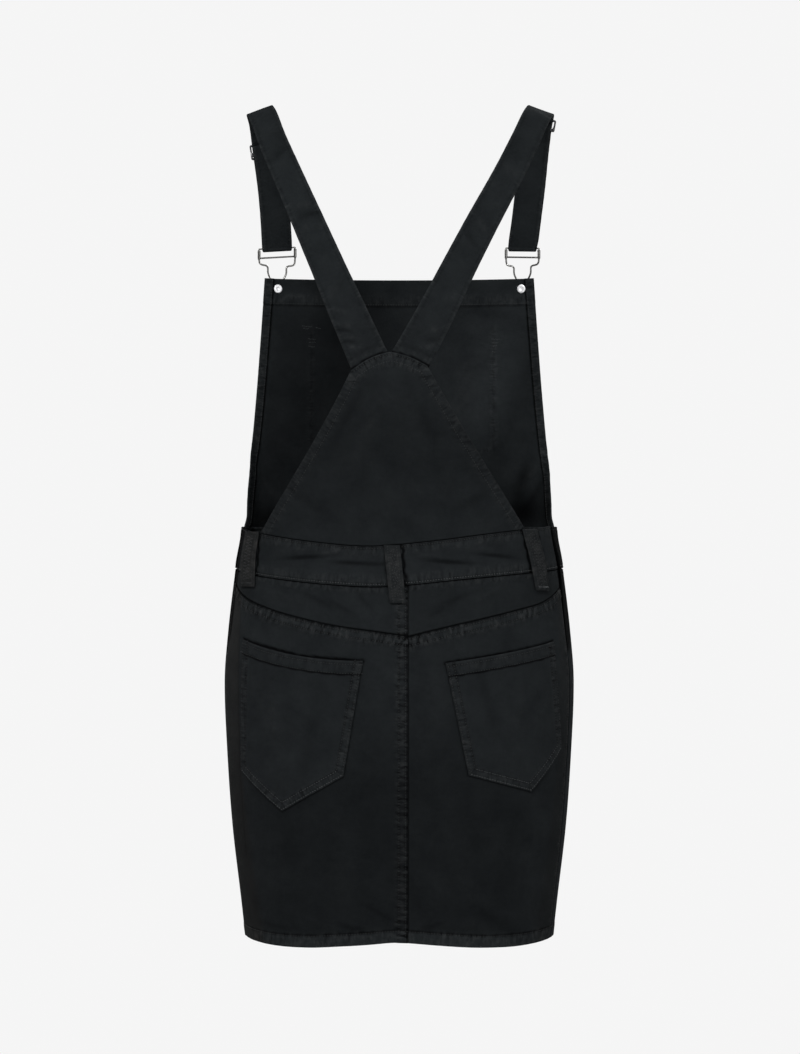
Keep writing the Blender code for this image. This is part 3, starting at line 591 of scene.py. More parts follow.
def shell(name, inner, outer, flat, look, **layers):
    """A closed piece of cloth between two grids of points, with rounded edges.

    Seen from outside, the first index runs from right to left and the second runs up. A layer
    is one grid of values, or a pair of them for the inner and the outer face.
    """
    m, n = inner.shape[:2]
    index = np.arange(m * n).reshape(m, n)
    quads = np.stack([index[:-1, :-1], index[:-1, 1:], index[1:, 1:], index[1:, :-1]], -1)
    quads = quads.reshape(-1, 4)
    middle = (inner + outer) / 2
    across, up = np.gradient(middle, axis=0), np.gradient(middle, axis=1)
    outdir = np.zeros_like(middle)
    outdir[0] -= across[0] / np.linalg.norm(across[0], axis=-1, keepdims=True)
    outdir[-1] += across[-1] / np.linalg.norm(across[-1], axis=-1, keepdims=True)
    outdir[:, 0] -= up[:, 0] / np.linalg.norm(up[:, 0], axis=-1, keepdims=True)
    outdir[:, -1] += up[:, -1] / np.linalg.norm(up[:, -1], axis=-1, keepdims=True)
    loop = np.concatenate([index[:-1, 0], index[-1, :-1], index[:0:-1, -1], index[0, :0:-1]])
    half = ((outer - inner) / 2).reshape(-1, 3)[loop]
    thick = np.linalg.norm(half, axis=1, keepdims=True)
    centre = middle.reshape(-1, 3)[loop]
    away = outdir.reshape(-1, 3)[loop]
    points = [inner.reshape(-1, 3), outer.reshape(-1, 3)]
    faces = [quads[:, ::-1], quads + m * n]
    rings = [loop + m * n]
    for number, degrees in enumerate(RIM_TURNS):
        turn = math.radians(degrees)
        points.append(centre + half * math.cos(turn) + away * thick * math.sin(turn))
        rings.append(2 * m * n + number * len(loop) + np.arange(len(loop)))
    rings.append(loop)
    for upper, lower in zip(rings, rings[1:]):
        onward = np.roll(upper, -1)
        faces.append(np.stack([upper, onward, np.roll(lower, -1), lower], -1))
    copied = {}
    for layer_name, values in dict(layers, flat=flat).items():
        under, over = values if isinstance(values, tuple) else (values, values)
        under, over = (face.reshape(m * n, *face.shape[2:]) for face in (under, over))
        copied[layer_name] = np.concatenate([under, over] + [over[loop]] * len(RIM_TURNS))
    return finish_mesh(name, np.concatenate(points), np.concatenate(faces), look, **copied)


def tinted(tone, places):
    """The tone at each place as red, green and blue: the dye's depth, together with painted light and shade.

    The tone is a number, a grid of numbers, a colour, a grid of colours, or a function that
    gives one of these for the places.
    """
    found = np.asarray(tone(places) if callable(tone) else tone, float)
    if found.shape != (3,) and found.ndim < places.ndim:
        found = found[..., None] * np.ones(3)
    return np.broadcast_to(found, places.shape[:-1] + (3,))


class Cloth:
    """A panel of cloth on the figure, with the relief of its folds, seams and hems."""

    def __init__(
        self, face, thickness, out=0.0, drawn=(), padding=(), lining=(), creases=(), tone=1.0, inside=None
    ):
        self.face = face
        self.tone = tone
        self.inside = tone if inside is None else inside
        self.thickness = thickness
        self.out = out
        self.drawn = drawn
        self.padding = padding
        self.lining = lining
        self.creases = creases

    def fine(self, places):
        """The small relief alone, which both of the cloth's faces share."""
        return sum((relief(places) for relief in self.drawn), np.zeros(places.shape[:-1]))

    def faces(self, places):
        """The points of the cloth's inner and outer face."""
        bare, outward = figure.bare(self.face, places), figure.outward(self.face, places)
        moved = self.out + folds(FOLDS, self.face, places) + folds(self.creases, self.face, places)
        moved = moved + self.fine(places)
        added = sum((relief(places) for relief in self.padding), np.zeros(places.shape[:-1]))
        lined = sum((relief(places) for relief in self.lining), np.zeros(places.shape[:-1]))
        inner = bare + outward * (moved - lined)[..., None]
        outer = bare + outward * (moved + self.thickness + added)[..., None]
        return inner, outer, outward

    def seams(self, places):
        """How far each place lies along and beside its nearest seam, and how much it puckers."""
        seam = np.zeros(places.shape[:-1] + (3,))
        for relief in self.drawn:
            if isinstance(relief, Puckers):
                found = np.stack(relief.strength(places), -1)
                seam = np.where(found[..., 2:] > seam[..., 2:], found, seam)
        return seam

    def make(self, name, place, size, coarse=0.0017, fine=0.0009):
        """Builds the panel, which replaces the node of its own name.

        The size is about that of the panel. The grid's lines are `fine` apart near the edges
        and `coarse` apart beyond them.
        """
        u, v = (ticks(length, coarse, fine, EDGE_REACH, self.thickness / 2) for length in size)
        places = place(*np.meshgrid(u, v, indexing="ij"))
        inner, outer, _ = self.faces(places)
        off_side, off_end = (np.minimum(t, 1 - t) * length for t, length in zip((u, v), size))
        off = np.minimum(off_side[:, None], off_end[None])
        seam, relief = self.seams(places), self.fine(places)
        crease = folds(self.creases, self.face, places)
        # The cloth is lighter at its edges, where the dye wears off, and lighter on raised folds, pucker
        # crests and puckered seams, partly from wear and partly as a painted highlight.
        wear_and_highlight = 0.30 * np.exp(-off / 0.0010) + 0.36 * np.clip(relief / 0.0005, 0, 1) + 0.30 * seam[..., 2]
        wear_and_highlight += np.clip(crease / 0.006, 0, 0.30)
        # Painted shade: darker in the troughs of seams, stitches and grooves, and in hollow creases.
        dark = np.clip(-relief / 0.0007, 0, 1) + np.clip(-crease / 0.0035, 0, 0.45)
        tones = tinted(self.inside, places), tinted(self.tone, places)
        layers = {"wear_and_highlight": wear_and_highlight, "dark": dark, "seam": seam, "tone": tones}
        made = shell(name + "_cloth", inner, outer, places, BLACK_DENIM, **layers)
        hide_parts(name)
        quads = places[1:, 1:] - places[:-1, :-1], places[1:, :-1] - places[:-1, 1:]
        area = abs(np.sum(quads[0][..., 0] * quads[1][..., 1] - quads[0][..., 1] * quads[1][..., 0])) / 2
        flat = np.ptp(places[..., 0]), np.ptp(places[..., 1])


THREAD = {"half_width": 0.00030, "height": 0.00034, "pitch": 0.0027, "gap": 0.0009}


def sew(name, cloth, lines, look, inside=False, pitch=THREAD["pitch"]):
    """Rows of stitches along lines on a panel, each stitch dipping into the cloth at its ends."""
    stations = []
    for line in lines:
        length = np.concatenate([[0.0], np.cumsum(np.linalg.norm(np.diff(line, axis=0), axis=1))])
        count = max(int(length[-1] / pitch), 1)
        starts = np.arange(count) * length[-1] / count
        reach = length[-1] / count - THREAD["gap"]
        at = starts[:, None] + np.array([0.0, 0.2, 0.8, 1.0]) * reach
        stations.append(np.stack([np.interp(at, length, line[:, k]) for k in (0, 1)], -1))
    places = np.concatenate(stations)
    inner, outer, outward = cloth.faces(places)
    base, up = (inner, -outward) if inside else (outer, outward)
    ahead = base[:, -1:] - base[:, :1]
    across = np.cross(up, ahead)
    across /= np.linalg.norm(across, axis=-1, keepdims=True)
    rise = np.array([-0.6, 1.0, 1.0, -0.6])[:, None] * THREAD["height"]
    wide = np.array([0.6, 1.0, 1.0, 0.6])[:, None] * THREAD["half_width"]
    crown = base + up * rise
    low = base + up * (rise - THREAD["height"] * 1.1)
    points = np.stack([low - across * wide, crown, low + across * wide], 2).reshape(-1, 3)
    first = (np.arange(len(places)) * 12)[:, None, None] + (np.arange(3) * 3)[None, :, None]
    first = first + np.arange(2)[None, None, :]
    faces = np.stack([first, first + 1, first + 4, first + 3], -1).reshape(-1, 4)
    finish_mesh(name, points, faces, look)


def zigzag(start, end, reach, pitch):
    """A line that swings from side to side of the line between two places on the cloth."""
    start, end = np.asarray(start, float), np.asarray(end, float)
    count = max(int(np.linalg.norm(end - start) / pitch), 2)
    line = lerp(start, end, np.linspace(0, 1, count + 1)[:, None])
    way = (end - start) / np.linalg.norm(end - start)
    swing = np.where(np.arange(count + 1) % 2, reach, -reach)[:, None]
    return line + swing * np.array([-way[1], way[0]])


def dips(*lines):
    """The troughs where two panels meet, painted dark as shade by the cloth's layers."""
    return [groove(line, 0.0, 0.0007, 0.0008) for line in lines]


TUCK = 0.0026  # width of the seam allowances that lie under a neighbouring panel


def tuck(way, edge_at):
    """Takes a seam allowance beyond an edge in under the neighbouring panel."""

    def relief(places):
        beyond = way * (places[..., 0] - edge_at(places[..., 1]))
        return -(CLOTH + SEAM) * ramp(beyond, -0.0005, 0.0008)

    return relief


def tuck_up(height_at, clear=0.0, way=1):
    """Takes a seam allowance up, or down, behind a panel whose lining stands in by `clear`."""

    def relief(places):
        beyond = way * (places[..., 1] - height_at(places[..., 0]))
        return -(CLOTH + SEAM + clear) * ramp(beyond, -0.0008, 0.0006)

    return relief


def denim(name, dark, light, ridge, trough):
    """Black twill: fine slanting ribs, a little lighter where the dye wears off, with a painted highlight on
    ridges and pucker crests.

    The cloth's layers say how much wear and painted highlight, how much painted shade and how much puckering
    each place has, and what tone it has; the tone holds the dye's depth together with painted light and
    shade.
    """
    gloss = {"Specular_IOR_Level": 0.008, "Sheen_Weight": 0.0015, "Sheen_Roughness": 0.5}
    look = Finish(name, Roughness=0.9, **gloss)
    flat = look.node("UVMap", {"uv_map": "cloth"}, {})
    along = look.node("SeparateXYZ", {}, {0: flat})
    up = Wire(along.socket.node.outputs[1])
    rib = ((along + up) * 8200.0).sine()
    yarn = ((along * 3.0 - up) * 4700.0).sine()
    fuzz = look.specks(flat, 1500.0, 2.0, 0.6)
    cloud = look.specks(flat, 34.0, 5.0, 0.62)
    slub = look.specks(flat, 210.0, 3.0, 0.6)
    patch_of = look.specks(flat, 130.0, 2.0, 0.6)
    wear_and_highlight = look.node("Attribute", {"attribute_name": "wear_and_highlight"}, {}, 2)
    painted_shade = look.node("Attribute", {"attribute_name": "dark"}, {}, 2)
    tone = look.node("Attribute", {"attribute_name": "tone"}, {}, 1)
    seam = look.node("Attribute", {"attribute_name": "seam"}, {}, 1)
    drawn = Wire(look.node("SeparateXYZ", {}, {0: seam}).socket.node.outputs[2])
    stretched = look.node("VectorMath", {"operation": "MULTIPLY"}, {0: seam, 1: (1.0, 0.30, 0.0)})
    pucker = look.specks(stretched, 340.0, 1.5, 0.5)
    grey = (cloud * 1.9 + slub * 0.6 + fuzz * 0.5 + rib * 0.06 - 1.0).within(0.0, 1.0)
    cloth = look.between(grey, dark, light)
    patchy = (patch_of * 4.0 - 1.5).within(0.1, 1.4)
    # Lighter with wear and, as a painted highlight, on raised folds and pucker crests; darker, as painted
    # shade, in troughs, creases and pucker hollows.
    fade_and_highlight = (wear_and_highlight * patchy + drawn * patchy * (pucker * 2.0 - 1.0) * 0.50).within(0.0, 1.0)
    crease = (painted_shade * 1.1 + drawn * patchy * (0.46 - pucker) * 2.6).within(0.0, 0.9)
    creased = look.between(crease, look.between(fade_and_highlight, cloth, ridge), trough)
    # The tone multiplies in the dye's depth and each panel's painted light and shade.
    multiply = {"data_type": "RGBA", "blend_type": "MULTIPLY"}
    coloured = look.node("Mix", multiply, {0: 1.0, 6: creased, 7: tone}, 2)
    weave = rib * 0.00006 + yarn * 0.00004 + fuzz * 0.00022 + slub * 0.00040
    height = weave + pucker * drawn * 0.0030 + cloud * 0.0016
    bump = look.node("Bump", {}, {"Strength": 1.0, "Distance": 1.0, "Height": height})
    look.wear(Base_Color=coloured, Roughness=(0.80 + fuzz * 0.12).within(0.5, 1.0), Normal=bump)
    return look


# ridge is the colour that wear and painted highlights lighten to; trough is the near black of painted shade.
BLACK_DENIM = denim(
    "Black denim",
    dark=(0.0074, 0.0086, 0.0094, 1.0),
    light=(0.0121, 0.0139, 0.0148, 1.0),
    ridge=(0.026, 0.0275, 0.0280, 1.0),
    trough=(0.0011, 0.0012, 0.0013, 1.0),
)


def thread(name, dull, bright):
    """Twisted thread, whose fibres catch the light in specks."""
    look = Finish(name, Roughness=0.70, Specular_IOR_Level=0.10)
    twist = look.specks(look.node("TexCoord", {}, {}, 3), 1600.0, 2.0)
    colour = look.between(twist, dull, bright)
    look.wear(Base_Color=colour, Roughness=(twist * 0.3 + 0.45).within(0.0, 1.0))
    return look


DARK_THREAD = thread("Black thread", (0.008, 0.0088, 0.0092, 1.0), (0.026, 0.0275, 0.028, 1.0))
DULL_THREAD = thread("Dull black thread", (0.014, 0.0152, 0.0158, 1.0), (0.048, 0.051, 0.052, 1.0))
RUBBED_THREAD = thread("Rubbed black thread", (0.020, 0.0215, 0.022, 1.0), (0.080, 0.085, 0.087, 1.0))


def through(corners, count=30):
    """A line with straight stretches between corners."""
    corners = np.asarray(corners, float)
    share = np.linspace(0, 1, count)[:, None]
    return np.concatenate([lerp(a, b, share) for a, b in zip(corners, corners[1:])])


def inset_corners(corners, aside):
    """An open outline moved to its left, with its corners kept sharp."""
    corners = np.asarray(corners, float)
    ways = np.diff(corners, axis=0)
    ways /= np.linalg.norm(ways, axis=1, keepdims=True)
    lefts = np.stack([-ways[:, 1], ways[:, 0]], -1)
    moved = [corners[0] + lefts[0] * aside]
    for corner, before, after in zip(corners[1:-1], lefts[:-1], lefts[1:]):
        moved.append(corner + (before + after) * aside / (1 + before @ after))
    moved.append(corners[-1] + lefts[-1] * aside)
    return moved


def back_edge(side):
    """The distance from centre back to the back's side edge, as a function of height."""
    return lambda height: SIDE[side] * (figure.quarter_at("back", height) - SIDE_SETBACK[side])


def side_height(table, side):
    """The height of a line of the back where it meets the back's side edge."""
    return float(smooth_table(table, SIDE[side] * NEAR_SIDE)[0])


def side_end(table, side):
    """The distance from centre back at which a line meets the back's side edge."""
    return float(back_edge(side)(side_height(table, side)))


OPENING_SHADE = {
    # height, how wide the painted shadow of the opening reaches on the back's edge, and on the front's edge
    "left": (
        (-0.420, 0.0105, 0.016),
        (-0.490, 0.0120, 0.017),
        (-0.530, 0.0130, 0.017),
        (-0.552, 0.0030, 0.007),
    ),
    "right": (
        (-0.420, 0.0008, 0.028),
        (-0.500, 0.0012, 0.028),
        (-0.530, 0.0020, 0.025),
        (-0.556, 0.0005, 0.009),
    ),
}


def opening_shade(face, side, places):
    """How much of a face's tone is left near a side opening, where the shadow in the gap is painted on its
    edges as a near-black band.
    """
    edge_at = back_edge(side) if face == "back" else front_edge(side)
    along, height = places[..., 0], places[..., 1]
    wide = smooth_table(OPENING_SHADE[side], height)[..., 0 if face == "back" else 1]
    wide = wide * (1 + 0.12 * uneven(height, 0.012, 5))
    near = 1 - ramp(abs(along - edge_at(height)), 0.85 * wide, wide + 0.0006)
    above_end = ramp(height, PLACKET_END - 0.005, PLACKET_END + 0.007)
    return 1 - 0.88 * near * above_end


def both_shades(face, places):
    """The same beside both of a face's side openings."""
    left, right = (opening_shade(face, side, places) for side in SIDE)
    return np.where(places[..., 0] > 0, left, right)


def in_order(side, inner, outer):
    """An inner and an outer distance from centre back, from right to left."""
    return (inner, outer) if side == "left" else (outer, inner)


def gape(height):
    """How far the side opening stands open at a height."""
    from_widest = (height - WAIST + GAPE["below_waist"]) / GAPE["reach"]
    open_by = 2 * SEAM + GAPE["most"] * np.exp(-(from_widest**2))
    return np.where(height < PLACKET_END, SEAM, open_by)


def front_edge(side):
    """The distance from centre front to the front's side edge, as a function of height."""
    return lambda height: SIDE[side] * (
        figure.quarter_at("front", height) + SIDE_SETBACK[side] - gape(height)
    )


T = np.linspace(0, 1, 60)  # where a panel's edges are read
POCKET_ROUND = ("inner_top", "inner_low", "tip", "outer_low", "outer_top")
POCKET_MOUTH = ("inner_top", "mid_top", "outer_top")
BACK_POCKETS = {
    # corner: along, height
    "left": {
        "inner_top": (0.0359, -0.5610),
        "mid_top": (0.1000, -0.5565),
        "outer_top": (0.1683, -0.5414),
        "inner_low": (0.0552, -0.6749),
        "tip": (0.1189, -0.7115),
        "outer_low": (0.1731, -0.6728),
    },
    "right": {
        "inner_top": (-0.0460, -0.5632),
        "mid_top": (-0.1040, -0.5545),
        "outer_top": (-0.1655, -0.5436),
        "inner_low": (-0.0688, -0.6741),
        "tip": (-0.1361, -0.6925),
        "outer_low": (-0.1795, -0.6513),
    },
}
CREASES = (
    # face, along, height, half length, half width, lean in degrees, depth
    ("back", -0.082, -0.829, 0.024, 0.0045, 62, 0.0009),
    ("back", -0.100, -0.822, 0.030, 0.0060, 58, -0.0007),
    ("back", 0.060, -0.770, 0.060, 0.0140, 8, 0.0004),
    ("back", 0.032, -0.735, 0.070, 0.0120, -6, -0.0003),
    ("back", -0.055, -0.760, 0.055, 0.0130, -9, 0.0003),
    ("back", 0.150, -0.590, 0.045, 0.0090, 36, 0.0003),
    ("back", -0.158, -0.600, 0.050, 0.0100, -34, 0.0003),
    ("back", 0.115, -0.735, 0.045, 0.0110, 22, -0.0003),
    ("back", -0.120, -0.722, 0.040, 0.0100, -26, -0.0003),
    ("back", 0.078, -0.503, 0.022, 0.0030, 66, -0.0009),
    ("back", 0.058, -0.508, 0.018, 0.0026, 60, -0.0008),
    ("back", 0.116, -0.498, 0.020, 0.0034, 72, 0.0007),
    ("back", 0.034, -0.503, 0.016, 0.0028, 40, -0.0007),
    ("back", -0.058, -0.500, 0.022, 0.0032, -70, -0.0008),
    ("back", -0.092, -0.494, 0.018, 0.0030, -64, 0.0007),
    ("back", -0.040, -0.512, 0.016, 0.0026, -60, -0.0007),
    ("back", 0.050, -0.826, 0.022, 0.0030, 76, -0.0010),
    ("back", 0.078, -0.820, 0.026, 0.0040, 70, 0.0005),
    ("back", 0.020, -0.812, 0.016, 0.0028, 60, -0.0008),
    ("back", -0.030, -0.826, 0.016, 0.0030, -70, -0.0008),
    ("back", 0.128, -0.828, 0.020, 0.0034, 84, -0.0008),
    ("back", -0.132, -0.812, 0.022, 0.0036, -80, 0.0004),
    ("back", 0.128, -0.615, 0.040, 0.0060, 4, 0.0006),
    ("back", 0.090, -0.640, 0.036, 0.0070, -12, -0.0006),
    ("back", -0.120, -0.622, 0.038, 0.0065, -3, 0.0006),
    ("back", -0.088, -0.600, 0.030, 0.0060, 14, -0.0006),
    ("back", 0.030, -0.330, 0.034, 0.0060, -24, 0.0007),
    ("back", 0.052, -0.318, 0.030, 0.0050, -28, -0.0009),
    ("back", -0.026, -0.322, 0.032, 0.0056, 26, -0.0007),
    ("back", 0.000, -0.300, 0.020, 0.0060, 86, 0.0006),
    ("back", 0.090, -0.404, 0.030, 0.0050, 58, -0.0007),
    ("back", -0.074, -0.402, 0.030, 0.0050, -60, -0.0007),
    ("front", 0.070, -0.520, 0.060, 0.0080, 70, -0.0009),
    ("front", -0.064, -0.531, 0.052, 0.0075, -68, -0.0008),
    ("front", 0.105, -0.560, 0.050, 0.0090, 58, 0.0008),
    ("front", -0.112, -0.574, 0.048, 0.0085, -54, 0.0009),
    ("front", 0.030, -0.600, 0.070, 0.0110, 84, 0.0006),
    ("front", 0.048, -0.745, 0.075, 0.0140, 10, 0.0012),
    ("front", -0.040, -0.760, 0.070, 0.0130, -12, -0.0010),
    ("front", 0.150, -0.700, 0.060, 0.0120, 14, -0.0009),
    ("front", -0.146, -0.690, 0.065, 0.0120, -15, 0.0010),
)
WARM = np.array([1.05, 0.95, 0.89])  # where the dye has faded to brown
SIDE_FOLD = np.array([(0.1760, -0.500), (0.1762, -0.600), (0.1755, -0.690), (0.1700, -0.760)])
centre_line = upright(CENTRE_SEAM, HEM - 0.004, BACK_WAIST_BOTTOM[3][1])(T)


def felled(depth):
    """The left panels' puckers beside the centre-back fell, and the troughs of its stitches."""
    puckers = Puckers(centre_line, -0.0060, 0.0068, 0.0030, depth, 41, 0.15)
    return [puckers, *(groove(centre_line, -row) for row in CENTRE_ROWS)]


for side in SIDE:
    inner = CENTRE_SEAM + (SEAM / 2 if side == "left" else TUCK)
    seam = YOKE_SEAM[side]
    bottom = line_at(BACK_HEM, *in_order(side, inner, side_end(BACK_HEM, side)))
    top = line_at(seam, *in_order(side, inner, side_end(seam, side)), -SEAM)
    sides = straight_sides(bottom, top)
    outer_side = 1 if side == "left" else 0
    sides[outer_side] = edge(back_edge(side), bottom(outer_side)[1], top(outer_side)[1])
    yoke_line, hem_line, side_line = top(T), bottom(T), sides[outer_side](T)
    corner = BACK_POCKETS[side]
    round_pocket = through([corner[name] for name in POCKET_ROUND])
    pocket_mouth = through([corner[name] for name in POCKET_MOUTH])
    drawn = [
        # Troughs round the pocket and under its mouth, painted dark as the pocket's shadow on the skirt.
        groove(round_pocket, 0.0, 0.0003, 0.0011, 0.0002),
        groove(pocket_mouth, 0.0, 0.0009, 0.0013, 0.0004),
        Puckers(yoke_line, -0.006, 0.007, 0.0030, 0.00038, 11 + SIDE[side], 0.35),
        Puckers(hem_line, HEM_DEEP / 2, 0.008, 0.0055, 0.00025, 21 + SIDE[side], 0.5),
        Puckers(side_line, SIDE[side] * 0.003, 0.005, 0.0042, 0.00022, 31 + SIDE[side], 0.3),
        *dips(yoke_line, centre_line),
        groove(hem_line, HEM_DEEP, 0.0003, 0.0010),
        *(groove(yoke_line, -row) for row in FELL_ROWS),
        groove(hem_line, HEM_ROW),
    ]
    padding = [
        strip(yoke_line, 0.001, -FELL, 0.00045),
        strip(hem_line, -0.001, HEM_DEEP, 0.00035),
    ]
    rows = [
        *(parallel(yoke_line, -row) for row in FELL_ROWS),
        parallel(hem_line, HEM_ROW),
        parallel(side_line, SIDE[side] * 0.0022),
    ]
    if side == "right":
        drawn.append(tuck(1, lambda height: CENTRE_SEAM - SEAM / 2))
    else:
        drawn += felled(0.00050)
        padding.append(strip(centre_line, 0.001, -FELL, 0.00045))
        for row, high in zip(CENTRE_ROWS, (-0.540, -0.541)):
            rows.append(upright(CENTRE_SEAM + row, HEM + 0.004, high)(T))

    def tone(places, side=side, yoke_line=yoke_line, hem_line=hem_line):
        """Lighter on the fell and the hem where the dye wears pale, lighter towards the sides as a painted
        sheen, darker from the pockets down, dimmed beside the side opening by its painted shadow, and brown
        down the left side's fold.
        """
        across, height = abs(places[..., 0]), places[..., 1]
        from_yoke, from_hem = beside(yoke_line, places)[1], beside(hem_line, places)[1]
        on_fell = ramp(from_yoke, -FELL - 0.0015, -FELL)
        on_hem = ramp(-from_hem, -HEM_DEEP - 0.0010, -HEM_DEEP + 0.0010)
        at_side = (0.15 if side == "left" else 0.20) * ramp(across, 0.10, 0.16)
        plain = lerp(0.98, 0.69, ramp(-height, 0.580, 0.700)) + at_side
        shade = lerp(plain, 1.10, np.maximum(on_fell, on_hem)) * opening_shade("back", side, places)
        warm_from = np.interp(-height, (0.50, 0.66, 0.84), (0.1765, 0.1750, 0.1380))
        warm = ramp(across, warm_from, warm_from + np.interp(-height, (0.66, 0.75), (0.001, 0.014)))
        tint = lerp(np.ones(3), WARM, (warm if side == "left" else 0.4 * warm)[..., None])
        return shade[..., None] * tint

    if side == "left":
        drawn.append(groove(SIDE_FOLD, 0.0, 0.00018, 0.0010, 0.0003))
    cloth = Cloth("back", CLOTH, 0.0, drawn, padding, creases=CREASES, tone=tone)
    size = float(np.ptp(hem_line[:, 0])), float(yoke_line[0, 1] - hem_line[0, 1])
    cloth.make(f"skirt_back_{side}", patch(*sides, bottom, top), size)
    sew(f"skirt_back_{side}_stitches", cloth, rows, DARK_THREAD)


def tucked_edge(side):
    """The front's side edge with its seam allowance, which lies under the back below the opening."""
    plain = front_edge(side)
    return lambda height: plain(height) + SIDE[side] * TUCK * ramp(PLACKET_END - height, 0.004, 0.016)


skirt_top = WAIST - WAISTBAND - SEAM
allowance = skirt_top + TUCK
BAND_LINED = 0.0007  # how far the band stands in, with the bib's foot between its layers
left, right = tucked_edge("left"), tucked_edge("right")
hem_line = bowed((left(HEM), HEM), (right(HEM), HEM))
top_line = bowed((left(skirt_top), skirt_top), (right(skirt_top), skirt_top))
allowance_line = bowed((left(allowance), allowance), (right(allowance), allowance))
left_side, right_side = edge(left, HEM, allowance), edge(right, HEM, allowance)
drawn = [
    Puckers(hem_line(T), -HEM_DEEP / 2, 0.008, 0.0060, 0.00030, 61, 0.5),
    Puckers(top_line(T), 0.003, 0.005, 0.0050, 0.00028, 62, 0.3),
    groove(hem_line(T), -HEM_ROW),
    *(tuck(SIDE[side], front_edge(side)) for side in SIDE),
    tuck_up(lambda along: skirt_top, BAND_LINED),
]
padding = [strip(hem_line(T), 0.001, -HEM_DEEP, 0.00035)]


# The front's tone is only the painted shadow beside its side openings.
def front_tone(places):
    return both_shades("front", places)


skirt_front = Cloth("front", CLOTH, 0.0, drawn, padding, creases=CREASES, tone=front_tone)
size = float(left(HEM) - right(HEM)), allowance - HEM
place = patch(left_side, right_side, hem_line, allowance_line)
skirt_front.make("skirt_front", place, size, 0.0032, 0.0016)
sew("skirt_front_stitches", skirt_front, [parallel(hem_line(T), -HEM_ROW)], DARK_THREAD)

# ================================================================ the yokes
# Two curved pieces between the waistband and the skirt's back, which shape the seat. They
# are felled to the skirt, and to each other at the centre.
for side in SIDE:
    inner = CENTRE_SEAM + SIDE[side] * SEAM / 2
    seam = YOKE_SEAM[side]
    bottom = line_at(seam, *in_order(side, inner, side_end(seam, side)), SEAM)
    top_ends = in_order(side, inner, side_end(BACK_WAIST_BOTTOM, side))
    top = line_at(BACK_WAIST_BOTTOM, *top_ends, -SEAM)
    allowance_line = line_at(BACK_WAIST_BOTTOM, *top_ends, TUCK - SEAM)
    drawn = [
        Puckers(top(T), -0.002, 0.005, 0.0040, 0.00022, 71, 0.3),
        tuck_up(lambda along: smooth_table(BACK_WAIST_BOTTOM, along)[..., 0] - SEAM),
        *dips(bottom(T), centre_line),
        groove(top(T), 0.0, 0.0003, 0.0008),
    ]
    padding = []
    if side == "left":
        drawn += felled(0.00048)
        padding = [strip(centre_line, 0.001, -FELL, 0.00045)]

    def tone(places, side=side):
        return opening_shade("back", side, places) * (1.02 if side == "left" else 0.95)

    yoke = Cloth("back", CLOTH, 0.0, drawn, padding, creases=CREASES, tone=tone)
    size = float(np.ptp(top(T)[:, 0])), 0.050
    place = patch(*straight_sides(bottom, allowance_line), bottom, allowance_line)
    yoke.make(f"yoke_{side}", place, size, 0.0016)
    if side == "left":
        rows = [
            upright(CENTRE_SEAM + row, low, -0.4875)(T)
            for row, low in zip(CENTRE_ROWS, (-0.534, -0.533))
        ]
        sew("yoke_stitches", yoke, rows, DARK_THREAD)

# ================================================================ the waistband
# Two layers of denim all round in two pieces, topstitched near both long edges. The back
# piece dips at the centre, and a crease runs along its middle from wear.
BAND = 0.0022  # thickness of its two layers
BAND_ROW = 0.0022  # its rows of stitches, from its edges
BAND_CREASES = (
    # face, along, height, half length, half width, lean in degrees, depth
    ("back", 0.094, -0.4585, 0.024, 0.0020, 93, -0.0020),
    ("back", 0.048, -0.4640, 0.018, 0.0019, 88, -0.0018),
    ("back", 0.112, -0.4520, 0.016, 0.0025, 96, 0.0010),
    ("back", -0.050, -0.4630, 0.022, 0.0019, 86, -0.0020),
    ("back", -0.098, -0.4570, 0.020, 0.0020, 84, -0.0018),
    ("back", -0.030, -0.4570, 0.014, 0.0028, 84, 0.0010),
    ("back", 0.022, -0.4655, 0.016, 0.0022, 92, -0.0010),
    ("back", 0.070, -0.4540, 0.014, 0.0032, 95, 0.0010),
    ("back", -0.076, -0.4500, 0.018, 0.0030, 86, 0.0008),
    ("front", 0.060, -0.4490, 0.050, 0.0020, 90, -0.0005),
    ("front", -0.070, -0.4500, 0.045, 0.0020, 91, -0.0005),
)
LOOPS = {
    # top along, bottom along, width, reach below the waistband
    "centre": (0.0073, 0.0013, 0.0162, 0.0175),
    "left": (0.1605, 0.1638, 0.0235, 0.0130),
    "right": (-0.1355, -0.1510, 0.0190, 0.0195),
}
bottom, top = (
    line_at(table, side_end(table, "right"), side_end(table, "left"))
    for table in (BACK_WAIST_BOTTOM, BACK_WAIST_TOP)
)
low_line, high_line = bottom(T), top(T)
loop_sides = []
for top_along, low_along, width, _ in LOOPS.values():
    for aside in (-width / 2, width / 2):
        loop_sides.append(through([(low_along + aside, -0.490), (top_along + aside, -0.425)], 10))
drawn = [
    # Troughs beside each loop's sides, painted dark as the shadow that the loops cast on the band.
    *(groove(line, 0.0, 0.0009, 0.0013, 0.0010, 0.007) for line in loop_sides),
    Puckers(low_line, 0.005, 0.006, 0.0042, 0.00022, 81, 0.2),
    Puckers(high_line, -0.004, 0.006, 0.0050, 0.00018, 82, 0.2),
    groove(low_line, BAND_ROW),
    groove(high_line, -BAND_ROW),
    *dips(high_line),
]


# The band's tone, dimmed beside the side openings by their painted shadow.
def back_tone(places):
    return 1.06 * both_shades("back", places)


